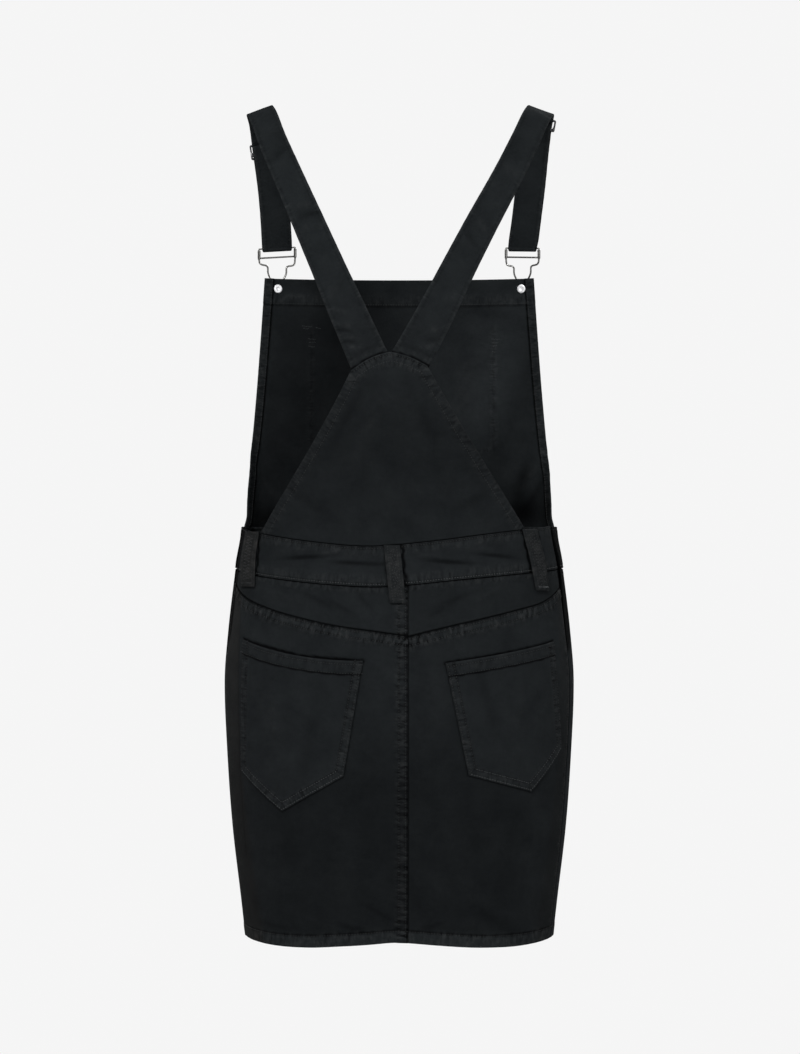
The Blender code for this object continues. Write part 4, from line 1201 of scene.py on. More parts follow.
waistband_back = Cloth("back", BAND, 0.0, drawn, creases=BAND_CREASES, tone=back_tone)
size = float(np.ptp(high_line[:, 0])), 0.040
waistband_back.make("waistband_back", patch(*straight_sides(bottom, top), bottom, top), size, 0.0014)
sew("waistband_back_stitches", waistband_back, [parallel(high_line, -BAND_ROW)], DARK_THREAD)
sew("waistband_back_low_stitches", waistband_back, [parallel(low_line, BAND_ROW)], RUBBED_THREAD)

waist_low, waist_high = WAIST - WAISTBAND, WAIST
left, right = front_edge("left"), front_edge("right")
bottom = bowed((left(waist_low), waist_low), (right(waist_low), waist_low))
top = bowed((left(waist_high), waist_high), (right(waist_high), waist_high))
sides = edge(left, waist_low, waist_high), edge(right, waist_low, waist_high)
low_line, high_line = bottom(T), top(T)
drawn = [
    Puckers(low_line, -0.005, 0.006, 0.0062, 0.00030, 84, 0.2),
    Puckers(high_line, 0.004, 0.005, 0.0068, 0.00024, 85, 0.2),
    groove(low_line, -BAND_ROW),
    groove(high_line, BAND_ROW),
]
# The bib's foot is sandwiched between the band's layers, so the band stands proud inside.
band_lining = [lambda places: BAND_LINED]
waistband_front = Cloth("front", BAND, 0.0, drawn, (), band_lining, BAND_CREASES, front_tone)
size = float(left(waist_low) - right(waist_low)), WAISTBAND
waistband_front.make("waistband_front", patch(*sides, bottom, top), size, 0.0022)
rows = [parallel(low_line, -BAND_ROW), parallel(high_line, BAND_ROW)]
sew("waistband_front_stitches", waistband_front, rows, DARK_THREAD)

# ================================================================ the back bib
# A tall panel that narrows to an arched top over the straps' ends. Its slanted edges and the
# arch are turned in and topstitched, and the turned edge puckers and shows lighter.
BACK_BIB_TOP = (
    # along, height
    (-0.0277, -0.2670),
    (-0.0118, -0.2590),
    (0.0042, -0.2542),
    (0.0122, -0.2540),
    (0.0301, -0.2600),
    (0.0478, -0.2713),
)
BACK_BIB_FOOT = (-0.1319, 0.1489)
BACK_BIB_BOW = (0.0035, -0.0052)
BACK_BIB_SIZE = (0.180, 0.186)
BIB_TURN = 0.0085  # width of the turned edges
ARCH_ROWS = (0.0025, 0.0090)
BACK_BIB_TONE = (
    # height, tone
    (-0.450, 0.94),
    (-0.400, 0.88),
    (-0.350, 0.80),
    (-0.300, 0.90),
    (-0.262, 1.14),
)

bottom = line_at(BACK_WAIST_TOP, *BACK_BIB_FOOT, SEAM)
top = line_at(BACK_BIB_TOP, BACK_BIB_TOP[0][0], BACK_BIB_TOP[-1][0])
slants = [bowed(bottom(t), top(t), bow) for t, bow in enumerate(BACK_BIB_BOW)]
right_line, left_line, top_line = slants[0](T), slants[1](T), top(T)


def carried_on(slant):
    """A slanted edge carried on past its foot by the allowance that goes down behind the band."""
    return lambda t: slant(lerp(-TUCK / BACK_BIB_SIZE[1], 1, np.asarray(t, float)))


sides = [carried_on(slant) for slant in slants]
foot = line_at(BACK_WAIST_TOP, sides[0](0)[0], sides[1](0)[0], SEAM - TUCK)
drawn = [
    Puckers(right_line, -0.004, 0.008, 0.0036, 0.00024, 91, 0.5),
    Puckers(left_line, 0.004, 0.008, 0.0036, 0.00022, 92, -0.5),
    Puckers(top_line, -0.006, 0.008, 0.0034, 0.00028, 93, 0.2),
    groove(right_line, -BIB_TURN, 0.00014),
    groove(left_line, BIB_TURN, 0.00014),
    groove(top_line, -ARCH_ROWS[0]),
    tuck_up(lambda along: smooth_table(BACK_WAIST_TOP, along)[..., 0] + SEAM, way=-1),
]
padding = [
    strip(right_line, 0.001, -BIB_TURN, 0.00020),
    strip(left_line, -0.001, BIB_TURN, 0.00020),
]


def back_bib_tone(places):
    return smooth_table(BACK_BIB_TONE, places[..., 1])[..., 0]


bib_back = Cloth("back", CLOTH, 0.0, drawn, padding, creases=CREASES, tone=back_bib_tone)
bib_back.make("bib_back", patch(*sides, foot, top), BACK_BIB_SIZE, 0.0018)
rows = [parallel(right_line, -BIB_TURN), parallel(left_line, BIB_TURN)]
rows += [parallel(top_line, -row) for row in ARCH_ROWS]
sew("bib_back_stitches", bib_back, rows, DARK_THREAD)

# ================================================================ the front bib
# One tall panel with a deep hem at the top and narrow hems at its sides, which turn in under
# the arms. From behind, its inner face shows, with the hems' folded edges and stitching.
FRONT_BIB_EDGE = (
    # height, half width
    (-0.1640, 0.1455),
    (-0.2080, 0.1500),
    (-0.2600, 0.1558),
    (-0.3110, 0.1614),
    (-0.3620, 0.1683),
    (-0.3870, 0.1730),
    (-0.4070, 0.1780),
    (-0.4190, 0.1850),
    (-0.4283, 0.2000),
)
TOP_HEM = 0.0275
SIDE_HEM = 0.0095
ROW_IN_HEM = 0.0015  # from a hem's folded edge to its stitches
IN_BAND = 0.0025  # how far the foot goes into the waistband
BIB_POCKET = {"half_width": 0.095, "top": -0.217, "bottom": -0.347}
PULLED = 0.007  # the pocket's right side pulls on the panel this far beside its edge
BIB_CREASES = (
    # face, along, height, half length, half width, lean in degrees, depth
    ("front", -0.140, -0.376, 0.034, 0.0040, -40, 0.0014),
    ("front", -0.150, -0.392, 0.030, 0.0035, -36, -0.0012),
    ("front", 0.146, -0.382, 0.030, 0.0040, 34, 0.0010),
    ("front", -0.060, -0.300, 0.060, 0.0120, -20, 0.0008),
    ("front", 0.070, -0.330, 0.055, 0.0110, 24, 0.0008),
    ("front", 0.020, -0.385, 0.060, 0.0090, 70, -0.0007),
    ("front", -0.090, -0.198, 0.030, 0.0050, 80, -0.0005),
)


# Painted light and shade on the inner face: lighter where the light reaches in, darker in the shadow of the
# back bib and straps and in the corners by the foot.
BIB_SHADES = (
    # face, along, height, half length, half width, lean in degrees, change of tone
    ("front", 0.062, -0.290, 0.120, 0.060, 0, -0.34),
    ("front", 0.150, -0.250, 0.070, 0.030, 0, 0.20),
    ("front", 0.166, -0.390, 0.075, 0.012, 0, -0.40),
    ("front", 0.135, -0.420, 0.014, 0.030, 0, -0.60),
    ("front", -0.120, -0.290, 0.095, 0.055, 0, 0.66),
    ("front", -0.020, -0.250, 0.060, 0.050, 0, 0.12),
    ("front", -0.136, -0.412, 0.022, 0.030, 0, -0.85),
    ("front", -0.136, -0.374, 0.022, 0.008, -22, -0.60),
    ("front", -0.170, -0.350, 0.080, 0.008, 0, -0.20),
    ("front", -0.178, -0.408, 0.022, 0.012, 0, -0.45),
    ("front", 0.115, -0.185, 0.014, 0.050, 0, 0.26),
    ("front", 0.155, -0.330, 0.060, 0.008, 0, 0.24),
)
BARS = (
    # short bars of stitches that show through by the pocket's corners: along, height, length, fall
    (0.1050, -0.2135, 0.0110, 0.0006),
    (0.1040, -0.2160, 0.0070, 0.0004),
    (0.0900, -0.2150, 0.0060, 0.0008),
    (0.0985, -0.2270, 0.0090, 0.0010),
    (0.0975, -0.2310, 0.0080, -0.0006),
    (0.0980, -0.2350, 0.0070, 0.0008),
    (-0.1000, -0.2275, 0.0090, 0.0004),
    (-0.1010, -0.2310, 0.0070, 0.0003),
    (-0.1015, -0.2350, 0.0050, -0.0004),
    (-0.1005, -0.2410, 0.0040, 0.0006),
)


def bib_half_width(height):
    return smooth_table(FRONT_BIB_EDGE, height)[..., 0]


bib_low, bib_high = WAIST - IN_BAND, FRONT_BIB_EDGE[0][0]
bib_left = edge(bib_half_width, bib_low, bib_high)
bib_right = edge(lambda height: -bib_half_width(height), bib_low, bib_high)
bottom = bowed(bib_left(0), bib_right(0))
top = bowed(bib_left(1), bib_right(1))
left_line, right_line, top_line = bib_left(T), bib_right(T), top(T)
half, low, high = BIB_POCKET["half_width"], BIB_POCKET["bottom"], BIB_POCKET["top"]
right_half = half + PULLED
under_pocket = through([(half, high), (half, low), (-right_half, low), (-right_half, high)])
drawn = [
    Puckers(left_line, 0.005, 0.005, 0.0048, 0.00030, 101, 0.3),
    Puckers(right_line, -0.005, 0.005, 0.0048, 0.00030, 102, 0.3),
    Puckers(top_line, 0.022, 0.006, 0.0066, 0.00020, 103, 0.3),
    Puckers(under_pocket, 0.0, 0.0045, 0.0070, 0.00016, 104, 0.3),
    groove(under_pocket, 0.0, 0.00018, 0.0012, 0.0005),
    # Troughs along the side hems' inner edges, painted dark as the shade beside the folded hems.
    groove(left_line, SIDE_HEM, 0.0007, 0.0010),
    groove(right_line, -SIDE_HEM, 0.0007, 0.0010),
    groove(top_line, TOP_HEM, 0.0003, 0.0008),
]
lining = [
    strip(left_line, -0.001, SIDE_HEM, 0.0005),
    strip(right_line, 0.001, -SIDE_HEM, 0.0005),
    strip(top_line, -0.001, TOP_HEM, 0.0005),
]


def inner_bib_painted_light(places):
    return np.clip(0.86 + folds(BIB_SHADES, "front", places), 0.10, 2.0)


bib_front = Cloth("front", CLOTH, 0.0, drawn, (), lining, BIB_CREASES, inside=inner_bib_painted_light)
bib_front.make("bib_front", patch(bib_left, bib_right, bottom, top), (0.320, bib_high - bib_low), 0.0020)
rows = [
    parallel(left_line, SIDE_HEM - ROW_IN_HEM),
    parallel(right_line, ROW_IN_HEM - SIDE_HEM),
    parallel(top_line, TOP_HEM - ROW_IN_HEM),
]
sew("bib_front_stitches", bib_front, rows, DARK_THREAD)
sew("bib_front_stitches_inside", bib_front, rows, DARK_THREAD, inside=True)
bars = [
    zigzag((along, height), (along - length, height - fall), 0.0006, 0.0010)
    for along, height, length, fall in BARS
]
sew("bib_front_bars", bib_front, bars, DULL_THREAD, inside=True, pitch=0.0020)

# ================================================================ the pockets
# Patch pockets sewn on with two rows of stitches round their edges and a hem across the top:
# a pair with pointed feet at the back, and a wide one on the front bib.
LAID_ON = 0.0004  # between a panel and a piece that lies on it
POCKET_HEM = 0.0135
POCKET_ROWS = (0.0016, 0.0076)  # round the edge
HEM_TOP_ROW = 0.0035

for side in SIDE:
    corner = {name: np.array(place) for name, place in BACK_POCKETS[side].items()}
    first, last = ("inner", "outer") if side == "left" else ("outer", "inner")
    starts = corner[f"{first}_low"], corner["tip"], corner[f"{last}_low"]
    tops = corner[f"{first}_top"], corner["mid_top"], corner[f"{last}_top"]

    def bottom(t, starts=starts):
        t = np.asarray(t, float)[..., None]
        rising, falling = lerp(starts[0], starts[1], 2 * t), lerp(starts[1], starts[2], 2 * t - 1)
        return np.where(t < 0.5, rising, falling)

    def top(t, tops=tops):
        t = np.asarray(t, float)[..., None]
        start, middle, end = tops
        return (1 - t) * (1 - 2 * t) * start + 4 * t * (1 - t) * middle + t * (2 * t - 1) * end

    outline = [tops[0], *starts, tops[2]]
    round_line = through(outline)
    top_line = top(T)
    drawn = [
        Puckers(round_line, 0.0045, 0.0052, 0.0034, 0.00026, 111 + SIDE[side], 0.2),
        Puckers(top_line, -0.007, 0.007, 0.0060, 0.00012, 113 + SIDE[side], 0.2),
        groove(top_line, -HEM_TOP_ROW, 0.0002),
        # A trough under the hem's fold, painted dark as the fold's shadow.
        groove(top_line, -POCKET_HEM, 0.0006, 0.0011, 0.0005, 0.008),
        groove(round_line, POCKET_ROWS[0], 0.0002),
        groove(round_line, POCKET_ROWS[1], 0.00035),
    ]
    padding = [
        strip(top_line, 0.001, -POCKET_HEM, 0.00045),
        strip(round_line, -0.001, 0.0095, 0.00020),
    ]
    pocket = Cloth("back", CLOTH, CLOTH + LAID_ON, drawn, padding, creases=CREASES, tone=1.03)
    pocket.make(f"pocket_{side}", patch(*straight_sides(bottom, top), bottom, top), (0.130, 0.125))
    round_rows = [inset_corners(outline, row) for row in POCKET_ROWS]
    rows = [parallel(top_line, -HEM_TOP_ROW), parallel(top_line, 0.001 - POCKET_HEM)]
    rows += [through(row[:2]) for row in round_rows] + [through(row[3:]) for row in round_rows]
    sew(f"pocket_{side}_stitches", pocket, rows, DARK_THREAD)
    feet = [through(row[1:4]) for row in round_rows]
    sew(f"pocket_{side}_foot_stitches", pocket, feet, RUBBED_THREAD)

outline = [(half, high), (half, low), (-half, low), (-half, high)]
bottom, top = (bowed((half, height), (-half, height)) for height in (low, high))
drawn = [
    Puckers(through(outline), -0.0045, 0.0045, 0.0052, 0.00030, 121, 0.4),
    groove(top(T), POCKET_HEM),
]
padding = [strip(top(T), -0.001, POCKET_HEM + 0.001, 0.00045)]
bib_pocket = Cloth("front", CLOTH, CLOTH + LAID_ON, drawn, padding, creases=CREASES)
place = patch(*straight_sides(bottom, top), bottom, top)
bib_pocket.make("bib_pocket", place, (2 * half, high - low), 0.0024)
rows = [through(inset_corners(outline, -row)) for row in POCKET_ROWS]
rows.append(parallel(top(T), POCKET_HEM))
sew("bib_pocket_stitches", bib_pocket, rows, DARK_THREAD)

# ================================================================ the plackets
# A strip of denim under each side opening, sewn to the back, which carries the two buttons.
UNDERLAP = 0.0010  # between the front and the strip behind it
PLACKET_STRIP = {"behind": 0.009, "ahead": 0.038, "below_waist": 0.004, "above_end": 0.002}

for side in SIDE:
    low = PLACKET_END + PLACKET_STRIP["above_end"]
    high = WAIST - PLACKET_STRIP["below_waist"]

    def rear(height, side=side):
        quarter = figure.quarter_at("back", height)
        return SIDE[side] * (quarter - SIDE_SETBACK[side] - PLACKET_STRIP["behind"])

    def fore(height, side=side):
        return SIDE[side] * (figure.quarter_at("back", height) + PLACKET_STRIP["ahead"])

    first, last = (rear, fore) if side == "left" else (fore, rear)
    bottom = bowed((float(first(low)), low), (float(last(low)), low))
    top = bowed((float(first(high)), high), (float(last(high)), high))
    place = patch(edge(first, low, high), edge(last, low, high), bottom, top)
    # The strip's tone is nearly black: painted shade standing for the shadow inside the opening.
    placket = Cloth("back", CLOTH, -CLOTH - UNDERLAP, tone=0.1)
    placket.make(f"placket_{side}", place, (0.075, high - low), 0.003, 0.002)

# ================================================================ the belt loops
# Folded strips of denim sewn down at both ends over the waistband, two rows of stitches
# along each, with a bar of tight stitches at the foot.
LOOP_CLOTH = 0.0018
LOOP_SLACK = 0.0018  # how far a loop's middle stands off the waistband
LOOP_ROW = 0.0035
LOOP_BROWN = lerp(np.ones(3), WARM, 0.8)


class Loop(Cloth):
    """A belt loop, whose middle stands off the waistband between its low and high end."""

    def __init__(self, low, high, drawn, tone):
        super().__init__("back", LOOP_CLOTH, BAND + LAID_ON, drawn, tone=tone)
        self.low, self.high = low, high

    def fine(self, places):
        share = np.clip((places[..., 1] - self.low) / (self.high - self.low), 0, 1)
        return super().fine(places) + LOOP_SLACK * np.sin(math.pi * share) ** 2


# The left loop is brown, and its outer part carries the side opening's painted shadow.
def left_loop_tone(places):
    return 0.98 * opening_shade("back", "left", places)[..., None] * LOOP_BROWN


for number, (name, (top_along, low_along, width, drop)) in enumerate(LOOPS.items()):
    high = float(smooth_table(BACK_WAIST_TOP, top_along)[0])
    low = float(smooth_table(BACK_WAIST_BOTTOM, low_along)[0]) - drop
    half = width / 2
    bottom = bowed((low_along - half, low), (low_along + half, low))
    top = bowed((top_along - half, high), (top_along + half, high))
    sides = straight_sides(bottom, top)
    drawn = [Puckers(sides[0](T), -half, half, 0.0040, 0.00012, 131 + number, 0.3)]
    tone = left_loop_tone if name == "left" else 0.96 * lerp(np.ones(3), WARM, 0.25)
    loop = Loop(low, high, drawn, tone)
    loop.make(f"loop_{name}", patch(*sides, bottom, top), (width, high - low), 0.0018, 0.001)
    rows = [parallel(sides[0](T), -LOOP_ROW), parallel(sides[1](T), LOOP_ROW)]
    sew(f"loop_{name}_stitches", loop, rows, DARK_THREAD)
    foot = zigzag(bottom(0.15) + (0, 0.0035), bottom(0.85) + (0, 0.0035), 0.0012, 0.0006)
    middle = zigzag(bottom(0.5) + (0, 0.007), top(0.5) - (0, 0.004), half * 0.42, 0.0016)
    sew(f"loop_{name}_zigzags", loop, [middle], DARK_THREAD, pitch=0.0025)
    bar_thread = RUBBED_THREAD if name == "right" else DARK_THREAD
    sew(f"loop_{name}_bar", loop, [foot], bar_thread, pitch=0.0025)

# ================================================================ the straps
# Two bands of denim folded double, sewn under the back bib and crossing the shoulders. Each
# goes down to its clasp, round the clasp's bar, and back up inside to its slider.
STRAP_AT_BAR = {"left": 0.032, "right": 0.0305}
UNDER_BIB = (-0.252, -0.222)  # flat against the back bib below the first, free above the second
CLASP_ACROSS = {"left": 0.1293, "right": -0.1303}
CLASP_WIDE = {"left": 1.03, "right": 0.94}  # the right clasp is turned a little aside
BAR_DROOP = {"left": math.radians(4.8), "right": math.radians(2.5)}  # at the outer ends
BUTTON_HEIGHT = -0.1745
BAR_ABOVE_BUTTON = 0.0434
SLIDER_HEIGHT = {"left": -0.034, "right": -0.0085}
BAR_RADIUS = 0.0008
PLAY = 0.0006  # between the strap and the metal that it runs over
TURN_RADIUS = BAR_RADIUS + PLAY + BAND / 2
CLASP_OUT = CLOTH + SEAM + BAR_RADIUS
TO_BAR = 0.020  # the last stretch, which turns square to the clasp's bar
TURN_STEPS = 14
PAST_SLIDER = 0.010  # how far the strap's end reaches beyond it
OPENS_OVER = 0.022  # the doubled strap's layers part over this length at the bar and the slider
APART_AT_SLIDER = 0.0054
STRAP_TWIST = {"left": 1.0, "right": 1.6}  # how far the front stretch faces to the side
STRAP_STEP = 0.0022
STRAPS = (
    # left across, right across, depth, height, outer edge's way: across, back, up; width
    (0.0281, -0.0086, 0.0942, -0.2660, 0.91, -0.05, -0.42, 0.0405),
    (0.0308, -0.0118, 0.0948, -0.2600, 0.91, -0.05, -0.42, 0.0402),
    (0.0401, -0.0235, 0.0985, -0.2390, 0.91, -0.08, -0.42, 0.0390),
    (0.0547, -0.0410, 0.1000, -0.2060, 0.91, -0.12, -0.42, 0.0370),
    (0.0680, -0.0562, 0.0990, -0.1757, 0.91, -0.16, -0.42, 0.0350),
    (0.0892, -0.0813, 0.0915, -0.1270, 0.91, -0.22, -0.41, 0.0330),
    (0.1109, -0.1079, 0.0745, -0.0770, 0.92, -0.24, -0.40, 0.0308),
    (0.1277, -0.1269, 0.0520, -0.0380, 0.93, -0.20, -0.38, 0.0295),
    (0.1378, -0.1392, 0.0275, -0.0108, 0.94, -0.10, -0.35, 0.0288),
    (0.1437, -0.1460, 0.0000, 0.0007, 0.94, 0.00, -0.34, 0.0286),
    (0.1413, -0.1445, -0.0260, -0.0087, 0.95, 0.10, -0.30, 0.0298),
    (0.1383, -0.1418, -0.0480, -0.0320, 0.96, 0.18, -0.20, 0.0312),
    (0.1335, -0.1385, -0.0700, -0.0705, 0.96, 0.24, -0.10, 0.0320),
    (0.1312, -0.1348, -0.0880, -0.1067, 0.95, 0.30, -0.03, 0.0320),
)


def unit(vectors):
    return vectors / np.linalg.norm(vectors, axis=-1, keepdims=True)


def along_at(face, across, height):
    """The distance from the face's centre at which the cloth lies this far across."""
    reach = np.arange(0, 0.2, 0.0005)
    places = np.stack([reach, np.full_like(reach, height)], -1)
    return math.copysign(float(np.interp(abs(across), figure.bare(face, places)[:, 0], reach)), across)


def clasp_frame(side):
    """The clasp's origin at its button, and its axes: across, up and out of the bib."""
    place = np.array([along_at("front", CLASP_ACROSS[side], BUTTON_HEIGHT), BUTTON_HEIGHT])
    origin = figure.bare("front", place) + figure.outward("front", place) * folds(FOLDS, "front", place)
    out = figure.outward("front", place)
    across = unit(np.cross((0, 0, 1), out))
    return origin, across, np.cross(out, across), out


class Course:
    """A strap's stations: points, outward normals, ways across, and widths."""

    def __init__(self, side):
        self.side = side
        column = 0 if side == "left" else 1
        origin, across, up, out = clasp_frame(side)
        bar = origin + up * BAR_ABOVE_BUTTON + out * CLASP_OUT
        self.out = out
        self.outer_edge = across * SIDE[side] * math.cos(BAR_DROOP[side]) - up * math.sin(BAR_DROOP[side])
        knots = []
        for row in STRAPS:
            twist = STRAP_TWIST[side] if row[2] < 0 else 1
            outer = (SIDE[side] * row[4], row[5] * twist, row[6])
            knots.append((row[column], row[2], row[3], *outer, row[7]))
        knots.append((*(bar + out * TURN_RADIUS), *self.outer_edge, STRAP_AT_BAR[side]))
        knots = np.array(knots)
        steps = np.linalg.norm(np.diff(knots[:, :3], axis=0), axis=1)
        self.table = np.column_stack([np.concatenate([[0.0], np.cumsum(steps)]), knots])
        self.length = self.table[-1, 0]

    def stations(self, place):
        values = smooth_table(self.table, place)
        after, before = (smooth_table(self.table, place + step)[:, :3] for step in (0.001, -0.001))
        tangent = unit(after - before)
        outer = values[:, 3:6]
        outer = unit(outer - tangent * np.sum(outer * tangent, axis=1, keepdims=True))
        normal = unit(np.cross(tangent, outer) * SIDE[self.side])
        at_bar = np.clip(1 - (self.length - place) / TO_BAR, 0, 1)[:, None]
        normal = unit(lerp(normal, self.out, at_bar))
        outer = unit(lerp(outer, self.outer_edge, at_bar))
        return values[:, :3], normal, outer, values[:, 6]

    def whole(self):
        """Down to the clasp's bar, round it, and back up to the slider."""
        place = np.linspace(0, self.length, round(self.length / STRAP_STEP) + 1)
        down = self.stations(place)
        lowest, normal, across = down[0][-1], down[1][-1], down[2][-1]
        centre = lowest - normal * TURN_RADIUS
        onward = np.cross(across, normal) * SIDE[self.side]
        turn = np.linspace(0, math.pi, TURN_STEPS + 1)[1:-1, None]
        round_normal = normal * np.cos(turn) + onward * np.sin(turn)
        ones = np.ones((len(turn), 1))
        round_width = ones[:, 0] * STRAP_AT_BAR[self.side]
        round_bar = (centre + round_normal * TURN_RADIUS, round_normal, across * ones, round_width)
        run = self.length - self.slider_place() + PAST_SLIDER
        place = self.length - np.linspace(0, run, round(run / STRAP_STEP) + 1)
        point, normal, across, width = self.stations(place)
        from_bar = (self.length - place) / OPENS_OVER
        from_slider = (place - self.slider_place()) / OPENS_OVER
        at_bar = lerp(BAND + PLAY, 2 * TURN_RADIUS, np.exp(-(from_bar**2)))
        at_slider = lerp(BAND + PLAY, APART_AT_SLIDER, np.exp(-(from_slider**2)))
        apart = np.maximum(at_bar, at_slider)[:, None]
        back_up = (point - normal * apart, -normal, across, width)
        return [np.concatenate(parts) for parts in zip(down, round_bar, back_up)]

    def slider_place(self):
        place = np.arange(0, self.length, 0.0005)
        point = self.stations(place)[0]
        ahead = point[:, 1] < -0.01
        return float(place[ahead][np.argmin(abs(point[ahead, 2] - SLIDER_HEIGHT[self.side]))])


STRAP_CREASES = (
    # strap, across, run, half length, half width, lean in degrees, depth
    ("left", 0.010, 0.024, 0.009, 0.0024, 62, 0.00080),
    ("left", 0.011, 0.030, 0.008, 0.0020, 58, -0.00060),
    ("left", 0.010, 0.036, 0.009, 0.0024, 55, 0.00090),
    ("left", 0.011, 0.042, 0.008, 0.0020, 60, -0.00065),
    ("left", 0.010, 0.048, 0.009, 0.0026, 64, 0.00085),
    ("left", 0.010, 0.062, 0.008, 0.0028, 60, 0.00060),
    ("left", 0.006, 0.082, 0.010, 0.0030, -50, 0.00045),
    ("left", -0.002, 0.150, 0.016, 0.0032, 72, 0.00054),
    ("left", -0.006, 0.163, 0.014, 0.0030, 80, -0.00054),
    ("left", 0.000, 0.176, 0.016, 0.0036, 68, 0.00045),
    ("left", 0.004, 0.238, 0.015, 0.0045, 105, -0.00036),
    ("left", 0.000, 0.330, 0.016, 0.0040, 80, 0.00045),
    ("left", -0.004, 0.372, 0.015, 0.0040, 98, -0.00045),
    ("left", 0.003, 0.410, 0.016, 0.0035, 84, 0.00045),
    ("right", 0.010, 0.026, 0.009, 0.0024, 60, 0.00070),
    ("right", 0.011, 0.034, 0.008, 0.0022, 64, -0.00055),
    ("right", 0.009, 0.045, 0.010, 0.0026, 56, 0.00070),
    ("right", 0.008, 0.080, 0.010, 0.0034, 66, 0.00060),
    ("right", -0.004, 0.141, 0.014, 0.0036, -66, -0.00045),
    ("right", 0.003, 0.158, 0.015, 0.0034, -70, 0.00045),
    ("right", 0.000, 0.226, 0.016, 0.0045, -85, 0.00036),
    ("right", 0.002, 0.315, 0.014, 0.0035, -80, 0.00054),
    ("right", -0.002, 0.349, 0.016, 0.0035, -96, -0.00045),
    ("right", 0.003, 0.392, 0.014, 0.0035, -84, 0.00045),
)
bib_arch = bib_back.faces(line_at(BACK_BIB_TOP, -0.040, 0.060)(T))[1][:, ::2]
courses = {}
for side in SIDE:
    course = Course(side)
    courses[side] = course
    point, normal, across, width = course.whole()
    u = np.linspace(0, 1, 23)
    offset = lerp(-0.5, 0.5, u) * SIDE[side]
    run = np.concatenate([[0.0], np.cumsum(np.linalg.norm(np.diff(point, axis=0), axis=1))])
    flat = np.stack(np.broadcast_arrays(offset[:, None] * width[None], run[None]), -1)
    wave = folds(STRAP_CREASES, side, flat) * ramp(course.length - run, 0.02, 0.04)
    edge_roll = 0.0003 * uneven(run, 0.006, 141 + SIDE[side]) * ramp(course.length - run, 0.02, 0.05)
    narrow = width - BAND
    middle = point[None] + across[None] * (offset[:, None] * narrow[None])[..., None]
    crossing = np.sin(u * math.pi)[:, None] ** 0.5
    lift = wave + edge_roll[None] * (1 - crossing)
    middle = middle + normal[None] * lift[..., None]
    free = (middle[..., 1] < 0) | (middle[..., 2] > UNDER_BIB[1])
    for i, j in np.argwhere(~free):
        x, _, z = middle[i, j]
        place = np.array([along_at("back", x, z), z])
        out = -SEAM - LAID_ON - BAND / 2 + folds(FOLDS, "back", place)
        tucked = figure.bare("back", place) + figure.outward("back", place) * out
        share = ramp(UNDER_BIB[1] - z, 0, UNDER_BIB[1] - UNDER_BIB[0])
        middle[i, j] = lerp(middle[i, j], tucked, share)
    thickness_way = unit(np.cross(np.gradient(middle, axis=1), np.gradient(middle, axis=0)))
    half = thickness_way * BAND / 2
    from_edge = np.minimum(u, 1 - u)[:, None] * width[None]
    from_arch = beside(bib_arch, middle[..., ::2])[1]
    # Lighter at the edges from wear; lighter on raised wrinkles and in a band just past the bib's arch as a
    # painted highlight.
    wear_and_highlight = 0.28 * np.exp(-from_edge / 0.0010) + np.clip(lift / 0.0022, 0, 0.35)
    wear_and_highlight += 0.26 * np.exp(-(((from_arch - 0.0048) / 0.0026) ** 2))
    stitched = np.exp(-(((from_edge - 0.0030) / 0.0009) ** 2))
    # Painted shade along the stitch rows and in wrinkle hollows, a painted shadow where the bib's arch edge
    # lies over the strap, and a softer painted shade beyond it.
    dark = 0.20 * stitched + np.clip(-lift / 0.0016, 0, 0.5)
    dark += 0.9 * ramp(-from_arch, -0.0018, -0.0008) + 0.22 * np.exp(-(((from_arch - 0.0095) / 0.003) ** 2))
    seam = np.stack(np.broadcast_arrays(run[None], from_edge, 0.5 * np.exp(-((from_edge / 0.006) ** 2))), -1)
    # The tone dips over the shoulder as a painted shadow.
    shoulder = np.exp(-(((flat[..., 1] - 0.28) / 0.07) ** 2))
    layers = {"wear_and_highlight": wear_and_highlight, "dark": dark, "seam": seam, "tone": tinted(1.14 - 0.14 * shoulder, flat)}
    strap = shell(f"strap_{side}_cloth", middle - half, middle + half, flat, BLACK_DENIM, **layers)
    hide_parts(f"strap_{side}")

# ================================================================ the clasps
# Bent wire of nickel-plated steel, with a sleeve at each end of the bar that the strap goes
# round. The closed wire narrows to a keyhole that hooks over the bib's button.
LOWER_BAR = {"up": 0.0337, "radius": 0.0009}
DROOPS_ABOVE = (0.0268, 0.0325)
CLASP_WIRE = (
    # across, up, radius
    (0.0000, 0.0434, 0.00080),
    (0.0183, 0.0434, 0.00080),
    (0.0195, 0.0434, 0.00080),
    (0.0195, 0.0419, 0.00095),
    (0.0195, 0.0417, 0.00150),
    (0.0195, 0.0415, 0.00160),
    (0.0195, 0.0329, 0.00160),
    (0.0195, 0.0327, 0.00150),
    (0.0195, 0.0325, 0.00095),
    (0.0192, 0.0282, 0.00095),
    (0.0182, 0.0262, 0.00095),
    (0.0162, 0.0252, 0.00095),
    (0.0122, 0.0247, 0.00095),
    (0.0105, 0.0237, 0.00095),
    (0.0099, 0.0216, 0.00095),
    (0.0101, 0.0180, 0.00095),
    (0.0093, 0.0147, 0.00095),
    (0.0073, 0.0112, 0.00095),
    (0.0054, 0.0080, 0.00095),
    (0.0047, 0.0050, 0.00095),
    (0.0047, 0.0010, 0.00095),
    (0.0036, -0.0030, 0.00095),
    (0.0000, -0.0050, 0.00095),
)


